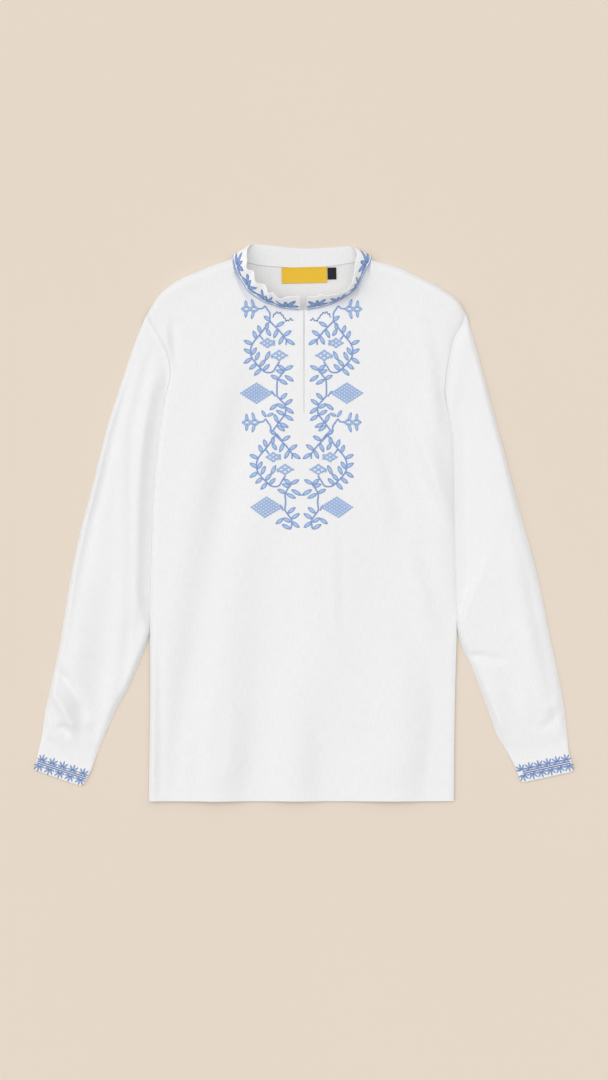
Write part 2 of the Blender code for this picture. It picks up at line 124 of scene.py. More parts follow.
def applyModifiers(piece):
    pickOnly(piece)
    for modifier in list(piece.modifiers):
        bpy.ops.object.modifier_apply(modifier=modifier.name)


def clothGrid(name, columns, rows):  # a flat grid, one cell to each future patch of cloth
    deselectAll()
    bpy.ops.mesh.primitive_grid_add(x_subdivisions=columns, y_subdivisions=rows, size=1.0)
    piece = bpy.context.object
    piece.name = name
    piece.data.name = name
    return piece


def layGrid(piece, columns, rows, places, weave):  # move each point of the grid to its place
    mesh = piece.data
    flat = np.zeros(len(mesh.vertices) * 3)
    mesh.vertices.foreach_get("co", flat)
    flat = flat.reshape(-1, 3)
    column = np.rint((flat[:, 0] + 0.5) * columns).astype(int)
    row = np.rint((flat[:, 1] + 0.5) * rows).astype(int)
    mesh.vertices.foreach_set("co", (places[row, column] * mm).ravel())
    corners = np.zeros(len(mesh.loops), dtype=int)
    mesh.loops.foreach_get("vertex_index", corners)
    mesh.uv_layers[0].name = "weave"
    mesh.uv_layers[0].data.foreach_set("uv", weave[row[corners], column[corners]].ravel() * mm)
    mesh.update()


def weldAndOrient(piece, distance=0.00002):
    pickOnly(piece)
    bpy.ops.object.mode_set(mode="EDIT")
    bpy.ops.mesh.select_all(action="SELECT")
    bpy.ops.mesh.remove_doubles(threshold=distance)
    bpy.ops.mesh.normals_make_consistent(inside=False)
    bpy.ops.object.mode_set(mode="OBJECT")


def pointUp(piece):  # an open sheet shows its front to the sky
    heights = sum(face.normal.z * face.area for face in piece.data.polygons)
    if heights < 0:
        piece.data.flip_normals()


def topOf(piece):  # finds the height of a piece's upper side at a place
    vertices = [vertex.co.copy() for vertex in piece.data.vertices]
    faces = [tuple(face.vertices) for face in piece.data.polygons]
    return BVHTree.FromPolygons(vertices, faces)


def drapeOn(piece, tree, fallback):  # lay a flat piece on the cloth below it
    for vertex in piece.data.vertices:
        start = Vector((vertex.co.x, vertex.co.y, 0.1))
        hit = tree.ray_cast(start, Vector((0.0, 0.0, -1.0)))[0]
        vertex.co.z += hit.z if hit else fallback * mm


def finishPiece(piece, material, nodes):
    piece.data.materials.clear()
    piece.data.materials.append(material)
    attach(piece, root)
    if nodes:
        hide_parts(*nodes)


# Materials

def newMaterial(name):
    material = bpy.data.materials.new(name)
    material.use_nodes = True
    tree = material.node_tree
    return material, tree, tree.nodes["Principled BSDF"]


def addNode(tree, kind, **settings):
    node = tree.nodes.new(kind)
    for key, value in settings.items():
        setattr(node, key, value)
    return node


def addNoise(tree, vector, scale, stretch, detail=2.0):  # noise on a stretched copy of the vector
    mapping = addNode(tree, "ShaderNodeMapping")
    mapping.inputs["Scale"].default_value = stretch
    noise = addNode(tree, "ShaderNodeTexNoise")
    noise.inputs["Scale"].default_value = scale
    noise.inputs["Detail"].default_value = detail
    tree.links.new(vector, mapping.inputs["Vector"])
    tree.links.new(mapping.outputs["Vector"], noise.inputs["Vector"])
    return noise.outputs["Fac"]


def addWave(tree, vector, scale, direction, distortion):
    wave = addNode(tree, "ShaderNodeTexWave", bands_direction=direction)
    wave.inputs["Scale"].default_value = scale
    wave.inputs["Distortion"].default_value = distortion
    wave.inputs["Detail"].default_value = 1.0
    tree.links.new(vector, wave.inputs["Vector"])
    return wave.outputs["Fac"]


def mathNode(tree, operation, first, second):
    node = addNode(tree, "ShaderNodeMath", operation=operation)
    for socket, value in zip(node.inputs, (first, second)):
        if isinstance(value, (int, float)):
            socket.default_value = value
        else:
            tree.links.new(value, socket)
    return node.outputs["Value"]


def mixColour(tree, factor, first, second):
    mix = addNode(tree, "ShaderNodeMix", data_type="RGBA")
    tree.links.new(factor, mix.inputs["Factor"])
    for socket, value in ((mix.inputs[6], first), (mix.inputs[7], second)):
        if isinstance(value, tuple):
            socket.default_value = value
        else:
            tree.links.new(value, socket)
    return mix.outputs[2]


linen = {
    "light": (0.862, 0.864, 0.870, 1.0),
    "shade": (0.808, 0.81, 0.818, 1.0),
    "threadPitch": 0.75,  # from one thread to the next
    "slubWidth": 1.2,
    "slubLength": 15.0,
    "bump": 0.12,
    "roughness": 0.88,
}


def makeLinen(name, light, shade):
    material, tree, shader = newMaterial(name)
    uv = addNode(tree, "ShaderNodeUVMap", uv_map="weave").outputs["UV"]
    waves = math.tau / (linen["threadPitch"] * mm) / 20.0
    warp = addWave(tree, uv, waves, "X", 1.4)
    weft = addWave(tree, uv, waves, "Y", 1.4)
    weave = mathNode(tree, "MULTIPLY", mathNode(tree, "ADD", warp, weft), 0.5)
    slub = 1.0 / (linen["slubWidth"] * mm)
    thin = linen["slubWidth"] / linen["slubLength"]
    upright = addNoise(tree, uv, slub, (1.0, thin, 1.0))
    level = addNoise(tree, uv, slub, (thin, 1.0, 1.0))
    both = mathNode(tree, "ADD", upright, mathNode(tree, "MULTIPLY", level, 0.55))
    slubs = mathNode(tree, "MULTIPLY", both, 0.645)
    cloudy = addNoise(tree, uv, 22.0, (1.0, 1.0, 1.0), 3.0)
    slubTone = mathNode(tree, "MULTIPLY", slubs, 0.84)
    weaveTone = mathNode(tree, "MULTIPLY", weave, 0.12)
    tone = mathNode(tree, "ADD", slubTone, weaveTone)
    tone = mathNode(tree, "ADD", tone, mathNode(tree, "MULTIPLY", cloudy, 0.04))
    spread = addNode(tree, "ShaderNodeMapRange")
    spread.inputs["From Min"].default_value = 0.36
    spread.inputs["From Max"].default_value = 0.62
    tree.links.new(tone, spread.inputs["Value"])
    tree.links.new(mixColour(tree, spread.outputs["Result"], shade, light), shader.inputs["Base Color"])
    bump = addNode(tree, "ShaderNodeBump")
    bump.inputs["Strength"].default_value = linen["bump"]
    bump.inputs["Distance"].default_value = 0.0004
    height = mathNode(tree, "ADD", weave, mathNode(tree, "MULTIPLY", slubs, 1.6))
    tree.links.new(height, bump.inputs["Height"])
    tree.links.new(bump.outputs["Normal"], shader.inputs["Normal"])
    shader.inputs["Roughness"].default_value = linen["roughness"]
    shader.inputs["Sheen Weight"].default_value = 0.12
    shader.inputs["Specular IOR Level"].default_value = 0.2
    return material


thread = {
    "fill": (0.41, 0.56, 0.83, 1.0),
    "outline": (0.19, 0.30, 0.56, 1.0),
    "stem": (0.18, 0.28, 0.54, 1.0),
    "pitch": 0.5,  # from one laid thread to the next
}


def makeSatin(name, fill, outline):  # filled shapes: v of the stitch map runs from the middle, 0, to the rim, 1
    material, tree, shader = newMaterial(name)
    stitch = addNode(tree, "ShaderNodeUVMap", uv_map="stitch").outputs["UV"]
    split = addNode(tree, "ShaderNodeSeparateXYZ")
    tree.links.new(stitch, split.inputs["Vector"])
    along = addNode(tree, "ShaderNodeCombineXYZ")
    tree.links.new(split.outputs["X"], along.inputs["X"])
    laid = addWave(tree, along.outputs["Vector"], math.tau / (thread["pitch"] * mm) / 20.0, "X", 0.0)
    coordinates = addNode(tree, "ShaderNodeTexCoord").outputs["Object"]
    uneven = addNoise(tree, coordinates, 300.0, (1.0, 1.0, 1.0), 2.0)
    rim = addNode(tree, "ShaderNodeMapRange", interpolation_type="SMOOTHSTEP")
    rim.inputs["From Min"].default_value = 0.42
    rim.inputs["From Max"].default_value = 0.80
    tree.links.new(split.outputs["Y"], rim.inputs["Value"])
    rimDark = mathNode(tree, "MULTIPLY", rim.outputs["Result"], 0.8)
    unevenDark = mathNode(tree, "MULTIPLY", uneven, 0.25)
    dark = mathNode(tree, "ADD", rimDark, unevenDark)
    dark = mathNode(tree, "ADD", dark, mathNode(tree, "MULTIPLY", laid, -0.12))
    tree.links.new(mixColour(tree, dark, fill, outline), shader.inputs["Base Color"])
    bump = addNode(tree, "ShaderNodeBump")
    bump.inputs["Strength"].default_value = 0.4
    bump.inputs["Distance"].default_value = 0.0003
    tree.links.new(laid, bump.inputs["Height"])
    tree.links.new(bump.outputs["Normal"], shader.inputs["Normal"])
    shader.inputs["Roughness"].default_value = 0.5
    shader.inputs["Sheen Weight"].default_value = 0.2
    return material


def makeStemThread(name, colour):
    material, tree, shader = newMaterial(name)
    coordinates = addNode(tree, "ShaderNodeTexCoord").outputs["Object"]
    twist = addWave(tree, coordinates, math.tau / (thread["pitch"] * mm) / 20.0, "DIAGONAL", 0.8)
    uneven = addNoise(tree, coordinates, 260.0, (1.0, 1.0, 1.0), 2.0)
    twistTone = mathNode(tree, "MULTIPLY", twist, 0.4)
    unevenTone = mathNode(tree, "MULTIPLY", uneven, 0.6)
    tone = mathNode(tree, "ADD", twistTone, unevenTone)
    lighter = tuple(min(part * 1.5, 1.0) for part in colour[:3]) + (1.0,)
    tree.links.new(mixColour(tree, tone, colour, lighter), shader.inputs["Base Color"])
    bump = addNode(tree, "ShaderNodeBump")
    bump.inputs["Strength"].default_value = 0.4
    bump.inputs["Distance"].default_value = 0.0003
    tree.links.new(twist, bump.inputs["Height"])
    tree.links.new(bump.outputs["Normal"], shader.inputs["Normal"])
    shader.inputs["Roughness"].default_value = 0.55
    shader.inputs["Sheen Weight"].default_value = 0.2
    return material


def makeSewing(name, colour):
    material, tree, shader = newMaterial(name)
    coordinates = addNode(tree, "ShaderNodeTexCoord").outputs["Object"]
    twist = addWave(tree, coordinates, math.tau / (0.5 * mm) / 20.0, "DIAGONAL", 0.5)
    darker = tuple(part * 0.86 for part in colour[:3]) + (1.0,)
    tree.links.new(mixColour(tree, twist, darker, colour), shader.inputs["Base Color"])
    shader.inputs["Roughness"].default_value = 0.7
    return material


def makeRibbon(name, colour, deep):  # satin woven patch with fine ribs
    material, tree, shader = newMaterial(name)
    uv = addNode(tree, "ShaderNodeUVMap", uv_map="weave").outputs["UV"]
    ribs = addWave(tree, uv, math.tau / (0.4 * mm) / 20.0, "Y", 0.6)
    warp = addWave(tree, uv, math.tau / (0.55 * mm) / 20.0, "X", 0.8)
    tone = mathNode(tree, "MULTIPLY", mathNode(tree, "ADD", ribs, warp), 0.5)
    tree.links.new(mixColour(tree, tone, deep, colour), shader.inputs["Base Color"])
    bump = addNode(tree, "ShaderNodeBump")
    bump.inputs["Strength"].default_value = 0.35
    bump.inputs["Distance"].default_value = 0.0002
    tree.links.new(tone, bump.inputs["Height"])
    tree.links.new(bump.outputs["Normal"], shader.inputs["Normal"])
    shader.inputs["Roughness"].default_value = 0.6
    shader.inputs["Specular IOR Level"].default_value = 0.2
    return material


linenCloth = makeLinen("linenCloth", linen["light"], linen["shade"])
# a darker copy of the linen for the back panel: partly the single layer over the floor, partly painted shade
# inside the neck opening
linenSingleWithPaintedShade = makeLinen("linenSingleWithPaintedShade", (0.80, 0.80, 0.80, 1.0), (0.735, 0.735, 0.735, 1.0))
# a lighter copy of the linen for the collar band's outer side: painted light
linenOuterPaintedLight = makeLinen("linenOuterPaintedLight", (0.94, 0.94, 0.95, 1.0), (0.885, 0.885, 0.895, 1.0))
# a darker copy of the linen for the collar band's inner side and edges: painted shade
linenDoublePaintedShade = makeLinen("linenDoublePaintedShade", (0.835, 0.835, 0.85, 1.0), (0.775, 0.775, 0.79, 1.0))
satinThread = makeSatin("satinThread", thread["fill"], thread["outline"])
deepSatin = makeSatin("deepSatin", (0.28, 0.43, 0.74, 1.0), (0.10, 0.19, 0.44, 1.0))
cuffSatin = makeSatin("cuffSatin", (0.29, 0.43, 0.72, 1.0), (0.11, 0.20, 0.44, 1.0))
stemThread = makeStemThread("stemThread", thread["stem"])
darkThread = makeStemThread("darkThread", (0.105, 0.175, 0.37, 1.0))
whiteSewing = makeSewing("whiteSewing", (0.86, 0.86, 0.86, 1.0))
goldSewing = makeSewing("goldSewing", (0.74, 0.50, 0.07, 1.0))
yellowRibbon = makeRibbon("yellowRibbon", (0.85, 0.555, 0.042, 1.0), (0.72, 0.43, 0.028, 1.0))
blackRibbon = makeRibbon("blackRibbon", (0.022, 0.022, 0.026, 1.0), (0.008, 0.008, 0.011, 1.0))
print("materials ready")


# Body

body = {
    "hemY": -380.5,
    "underarmY": 120.0,
    "slitEndY": 151.0,
    "slitHalfTop": 0.34,
    "slitHalfEnd": 0.12,
    "chestShoulderX": (-92.0, 88.0),
    "rimTop": 1.15,  # where the two panels meet along a side
    "rimRound": 1.8,
    "neckTop": 2.4,
    "armholeRise": 2.8,
    "wall": 0.55,
    "sleeveUnder": 1.7,
    "loft": 5.0,
    "edgeSlope": (10.0, 34.0),  # left, right
    "shoulderRoll": 1.3,
    "hemDepth": 9.0,
    "hemRise": 0.35,
    "shoulderCells": 36,
    "neckCells": 28,
    "rowsBelow": 156,
    "rowsSlit": 10,
    "rowsAbove": 44,
    "side": [  # y, left x, right x
        (-380.5, -212.7, 205.2),
        (-228.0, -211.0, 207.0),
        (-143.0, -211.0, 209.0),
        (-37.0, -208.6, 206.5),
        (32.0, -206.3, 205.0),
        (87.0, -202.0, 204.5),
        (120.0, -198.5, 203.8),
    ],
    "armholeLeft": [  # x, y
        (-198.5, 120.0), (-190.8, 168.9), (-183.0, 208.0), (-187.5, 231.0),
        (-197.0, 251.0), (-210.0, 273.0), (-216.0, 284.5),
    ],
    "armholeRight": [
        (203.8, 120.0), (196.9, 155.0), (193.0, 177.0), (194.2, 201.8),
        (198.5, 228.0), (205.0, 254.0), (216.1, 273.0), (221.6, 286.0),
    ],
    "shoulderLeft": [
        (-216.0, 284.5), (-197.6, 314.0), (-170.0, 334.6), (-142.8, 346.0),
        (-115.4, 357.0), (-98.5, 362.0),
    ],
    "shoulderRight": [
        (221.6, 286.0), (210.6, 305.0), (188.0, 322.0), (160.0, 336.5),
        (128.0, 351.5), (92.0, 360.5),
    ],
    "frontNeckLeft": [
        (-98.5, 362.0), (-93.1, 347.0), (-85.7, 331.9), (-73.8, 315.4),
        (-60.0, 305.5), (-32.0, 295.6), (0.0, 291.7),
    ],
    "frontNeckRight": [
        (92.0, 360.5), (85.1, 348.0), (77.8, 336.4), (70.4, 323.0),
        (55.4, 311.3), (32.0, 298.5), (0.0, 291.7),
    ],
    "backNeckLeft": [
        (-98.5, 362.0), (-80.5, 357.5), (-63.4, 353.5), (-30.8, 350.5), (0.0, 349.7),
    ],
    "backNeckRight": [
        (92.0, 360.5), (70.4, 357.5), (43.5, 352.7), (20.0, 350.3), (0.0, 349.7),
    ],
    "creases": [  # half width, then y, x, height from the top down
        (33.0, [
            (232.0, -84.0, 0.0), (190.0, -92.0, 3.0), (130.0, -108.0, 5.2), (50.0, -126.0, 6.4),
            (0.0, -134.0, 6.2),
            (-50.0, -142.0, 5.6), (-100.0, -152.0, 5.0), (-150.0, -160.0, 4.6), (-200.0, -170.0, 5.2),
            (-260.0, -179.0, 4.8), (-330.0, -188.0, 4.2), (-381.0, -193.0, 3.4),
        ]),
        (50.0, [
            (30.0, -64.0, 0.0), (-40.0, -73.0, 4.2), (-100.0, -78.0, 5.4), (-160.0, -80.0, 6.2),
            (-220.0, -82.0, 7.4),
            (-290.0, -83.0, 10.2), (-350.0, -84.0, 11.6), (-381.0, -86.0, 11.2),
        ]),
        (46.0, [
            (-190.0, -10.0, 0.0), (-240.0, -5.0, 3.8), (-290.0, 2.0, 8.2), (-340.0, 8.0, 11.0),
            (-381.0, 10.0, 11.0),
        ]),
        (52.0, [
            (-100.0, 138.0, 0.0), (-160.0, 152.0, 4.2), (-220.0, 165.0, 9.8),
            (-300.0, 168.0, 12.0), (-350.0, 163.0, 13.0),
            (-381.0, 160.0, 12.6),
        ]),
        (14.0, [(-255.0, -150.0, 0.0), (-320.0, -151.0, 2.2), (-381.0, -152.0, 2.0)]),
        (75.0, [(20.0, 60.0, 0.0), (-60.0, 70.0, 4.0), (-200.0, 80.0, 5.0), (-381.0, 80.0, 4.0)]),
        (18.0, [
            (150.0, 84.0, 0.0), (100.0, 100.0, 2.2), (50.0, 113.0, 2.8), (10.0, 122.0, 2.4),
            (-60.0, 132.0, 0.0),
        ]),
        (17.0, [
            (165.0, 136.0, 0.0), (120.0, 150.0, -3.4), (80.0, 163.0, -6.4), (40.0, 178.0, -6.4),
            (10.0, 189.0, -3.2),
            (-14.0, 194.0, 0.0),
        ]),
        (20.0, [
            (10.0, 144.0, 0.0), (-50.0, 158.0, 3.8), (-90.0, 168.0, 4.2), (-130.0, 180.0, 3.6),
            (-175.0, 194.0, 0.0),
        ]),
        (14.0, [
            (305.0, 163.0, 0.0), (250.0, 173.0, 1.8), (200.0, 182.0, 2.8), (150.0, 190.0, 2.8),
            (110.0, 196.0, 0.0),
        ]),
        (8.0, [(285.0, -184.0, 0.0), (258.0, -184.0, 2.8), (232.0, -181.0, 2.8), (208.0, -177.0, 0.0)]),
        (9.0, [(0.0, 46.0, 0.0), (-50.0, 46.0, 0.8), (-120.0, 47.0, 0.8), (-170.0, 50.0, 0.0)]),
        (9.0, [
            (-130.0, -204.0, 0.0), (-190.0, -203.0, 2.4), (-300.0, -203.0, 2.6),
            (-381.0, -203.0, 2.0),
        ]),
    ],
    "backFolds": [
        (-120.0, 180.0, -150.0, -60.0, 12.0, 1.3),
        (-96.0, 20.0, -120.0, -250.0, 13.0, 1.4),
        (-30.0, -100.0, -36.0, -340.0, 14.0, 1.2),
        (40.0, 120.0, 52.0, -60.0, 14.0, 0.9),
        (100.0, 160.0, 138.0, -20.0, 12.0, 1.3),
        (110.0, -120.0, 120.0, -330.0, 14.0, 1.4),
    ],
}


def rowShares(fine):
    slit = (body["slitEndY"] - body["underarmY"]) / (body["frontNeckLeft"][-1][1] - body["underarmY"])
    below = np.linspace(0.0, slit, body["rowsSlit"] // fine + 1)
    above = np.linspace(slit, 1.0, body["rowsAbove"] // fine + 1)
    return np.concatenate([below, above[1:]])


def halfUpperGrid(armhole, shoulder, neck, chestShoulderX, side, fine):
    shoulderCells, neckCells = body["shoulderCells"] // fine, body["neckCells"] // fine
    v = rowShares(fine)[:, None]
    outer = smoothCurve(armhole, v[:, 0])
    neck = list(neck)
    neck[-1] = (side * body["slitHalfTop"], neck[-1][1])
    topShoulder = smoothCurve(shoulder, np.linspace(0, 1, shoulderCells + 1))
    top = np.vstack([topShoulder, smoothCurve(neck, np.linspace(0, 1, neckCells + 1))[1:]])
    chestX = np.concatenate([
        np.linspace(armhole[0][0], chestShoulderX, shoulderCells + 1),
        np.linspace(chestShoulderX, side * body["slitHalfEnd"], neckCells + 1)[1:],
    ])
    bottom = np.column_stack([chestX, np.full(len(chestX), body["underarmY"])])
    inner = bottom[-1] + v * (top[-1] - bottom[-1])
    u = ((chestX - chestX[0]) / (chestX[-1] - chestX[0]))[None, :, None]
    v = v[:, :, None]
    ends = (1 - u) * outer[:, None] + u * inner[:, None]
    sides = (1 - v) * bottom[None] + v * top[None]
    corners = (1 - v) * ((1 - u) * bottom[0] + u * bottom[-1]) + v * ((1 - u) * top[0] + u * top[-1])
    return ends + sides - corners


def bodyGrid(neckLeft, neckRight, fine):  # plan of a panel, rows from the hem up
    leftX, rightX = body["chestShoulderX"]
    left = halfUpperGrid(body["armholeLeft"], body["shoulderLeft"], neckLeft, leftX, -1, fine)
    right = halfUpperGrid(body["armholeRight"], body["shoulderRight"], neckRight, rightX, 1, fine)
    upper = np.concatenate([left, right[:, ::-1]], axis=1)
    side = np.array(body["side"])
    y = np.linspace(body["hemY"], body["underarmY"], body["rowsBelow"] // fine + 1)
    shares = (y - body["hemY"]) / (body["underarmY"] - body["hemY"])
    leftEdge = smoothCurve(side[:, [1, 0]], shares)[:, :1]
    rightEdge = smoothCurve(side[:, [2, 0]], shares)[:, :1]
    chest = upper[0, :, 0]
    across = ((chest - chest[0]) / (chest[-1] - chest[0]))[None, :]
    lower = np.zeros((len(y), across.shape[1], 2))
    lower[:, :, 0] = leftEdge + across * (rightEdge - leftEdge)
    lower[:, :, 1] = y[:, None]
    return np.concatenate([lower[:-1], upper])


def edgeDistances(grid):
    fromLeft = np.linalg.norm(grid - grid[:, :1], axis=2)
    fromRight = np.linalg.norm(grid - grid[:, -1:], axis=2)
    fromTop = np.linalg.norm(grid - grid[-1:], axis=2)
    return np.minimum(fromLeft, fromRight), fromTop, grid[:, :, 1] - body["hemY"]


def bodyLift(grid):  # the body rises where a sleeve lies under its edge
    sides = edgeDistances(grid)[0]
    y = grid[:, :, 1]
    inward = 1.0 - smoothStep((sides - 20.0) / 45.0)
    upperEnd = 1.0 - smoothStep((y - 140.0) / 75.0)
    lowerEnd = smoothStep((y + 235.0) / 72.0)
    return body["sleeveUnder"] * inward * upperEnd * (0.7 + 0.3 * lowerEnd)


def frontHeights(grid):
    sides, fromTop, fromHem = edgeDistances(grid)
    x, y = grid[:, :, 0], grid[:, :, 1]
    columns = grid.shape[1]
    fromMiddle = np.abs(np.arange(columns) - (columns - 1) / 2)[None, :]
    leftHalf = np.arange(columns) < columns / 2
    slope = np.where(leftHalf, body["edgeSlope"][0], body["edgeSlope"][1])[None, :]
    inside = quarterRound(sides, slope)
    besideNeck = fromMiddle > body["neckCells"]
    neckSlope = smoothStep((fromTop + 3.0) / 30.0)
    inside = inside * np.where(besideNeck, quarterRound(fromTop, 9.0), neckSlope)
    loft = body["loft"] * (0.42 + 0.58 * smoothStep(fromHem / 140.0))
    loft = loft + creaseHeight(body["creases"], x, y) * (0.6 + 0.4 * smoothStep(fromHem / 60.0))
    loft = loft + 0.6 * softNoise(x, y * 0.5, 60.0, 3) + 0.18 * softNoise(x, y * 0.5, 24.0, 4)
    atShoulder = np.exp(-((np.maximum(fromTop - 6.0, 0.0) / 15.0) ** 2))
    loft = loft + body["shoulderRoll"] * atShoulder * besideNeck
    fine = 0.05 * softNoise(x, y * 0.5, 9.0, 5) + 0.03 * softNoise(x, y, 5.0, 6)
    nearTop = 1.0 - smoothStep((fromTop - 4.0) / 20.0)
    atNeck = smoothStep((body["neckCells"] + 3.0 - fromMiddle) / 4.0) * nearTop
    atArmhole = smoothStep((y - 165.0) / 45.0) * (1.0 - smoothStep((sides - 4.0) / 20.0))
    rim = body["rimTop"] + (body["neckTop"] - body["rimTop"]) * np.maximum(atNeck, atArmhole)
    upHole = np.clip((y - body["underarmY"]) / 165.0, 0.0, 1.0)
    rise = np.sin(math.pi * upHole) ** 0.6 * smoothStep((y - 140.0) / 60.0)
    rim = rim + body["armholeRise"] * rise * (1.0 - inside)
    # no crisp edge by the right sleeve
    rightHalf = (np.arange(columns) > columns / 2)[None, :]
    soft = smoothStep((fromMiddle - 20.0) / 10.0) * rightHalf
    soft = soft * smoothStep((y + 200.0) / 80.0) * (1.0 - smoothStep((sides - 2.0) / 24.0))
    flat = np.maximum(np.maximum(atNeck, atArmhole), soft)
    edge = np.minimum(sides + 30.0 * atArmhole, fromTop + 30.0 * atNeck)
    top = bodyLift(grid) + rim + body["rimRound"] * quarterRound(edge, 5.0) * (1.0 - flat)
    loft = 0.8 * np.logaddexp(0.0, loft / 0.8)
    top = top + inside * np.minimum(loft, 9.5) + fine * smoothStep(sides / 8.0)
    hem = smoothStep((body["hemDepth"] - fromHem) / 1.5)
    pucker = 0.1 * np.sin(x * 0.55 + 2.0 * softNoise(x, y, 30.0, 7)) * hem
    slit = np.exp(-((x / 3.0) ** 2)) * smoothStep((y - body["slitEndY"]) / 10.0)
    return top + (body["hemRise"] + pucker) * hem - 0.5 * slit


def backHeights(grid):  # pressed on the floor, so its creases stand up into the shirt
    sides, fromTop, fromHem = edgeDistances(grid)
    inside = smoothStep(sides / 30.0) * smoothStep(fromTop / 40.0) * smoothStep(fromHem / 25.0)
    crease = foldHeight(body["backFolds"], grid[:, :, 0], grid[:, :, 1])
    crease = crease + 0.35 * softNoise(grid[:, :, 0], grid[:, :, 1] * 0.5, 55.0, 11)
    return bodyLift(grid) + body["wall"] + inside * np.clip(crease, 0.0, 1.8)


def addPanel(name, neckLeft, neckRight, heights, slit, fine):
    grid = bodyGrid(neckLeft, neckRight, fine)
    rows, columns = grid.shape[0] - 1, grid.shape[1] - 1
    places = np.dstack([grid, heights(grid)])
    piece = clothGrid(name, columns, rows)
    if slit:  # the cells between the two halves are left out above the slit's end
        left = (columns // 2) / columns - 0.5
        low = (body["rowsBelow"] + body["rowsSlit"]) // fine / rows - 0.5
        for part in list(piece.data.edges) + list(piece.data.polygons):
            part.select = False
        for vertex in piece.data.vertices:
            fromLine = abs(vertex.co.x - left - 0.5 / columns)
            vertex.select = vertex.co.y > low - 0.2 / rows and fromLine < 0.7 / columns
        pickOnly(piece)
        bpy.ops.object.mode_set(mode="EDIT")
        bpy.ops.mesh.delete(type="ONLY_FACE")
        bpy.ops.object.mode_set(mode="OBJECT")
    layGrid(piece, columns, rows, places, grid)
    pointUp(piece)
    wall = piece.modifiers.new("wall", "SOLIDIFY")
    wall.thickness = body["wall"] * mm
    wall.offset = -1.0
    applyModifiers(piece)
    smoothShaded(piece)
    return piece


frontPanel = addPanel(
    "frontPanel", body["frontNeckLeft"], body["frontNeckRight"], frontHeights, True, 1,
)
finishPiece(frontPanel, linenCloth, ["front_panel"])
backPanel = addPanel("backPanel", body["backNeckLeft"], body["backNeckRight"], backHeights, False, 2)
finishPiece(backPanel, linenSingleWithPaintedShade, ["back_panel"])
print("body panels laid")

frontPlan = bodyGrid(body["frontNeckLeft"], body["frontNeckRight"], 1)
frontHeight = frontHeights(frontPlan)


# Sleeves

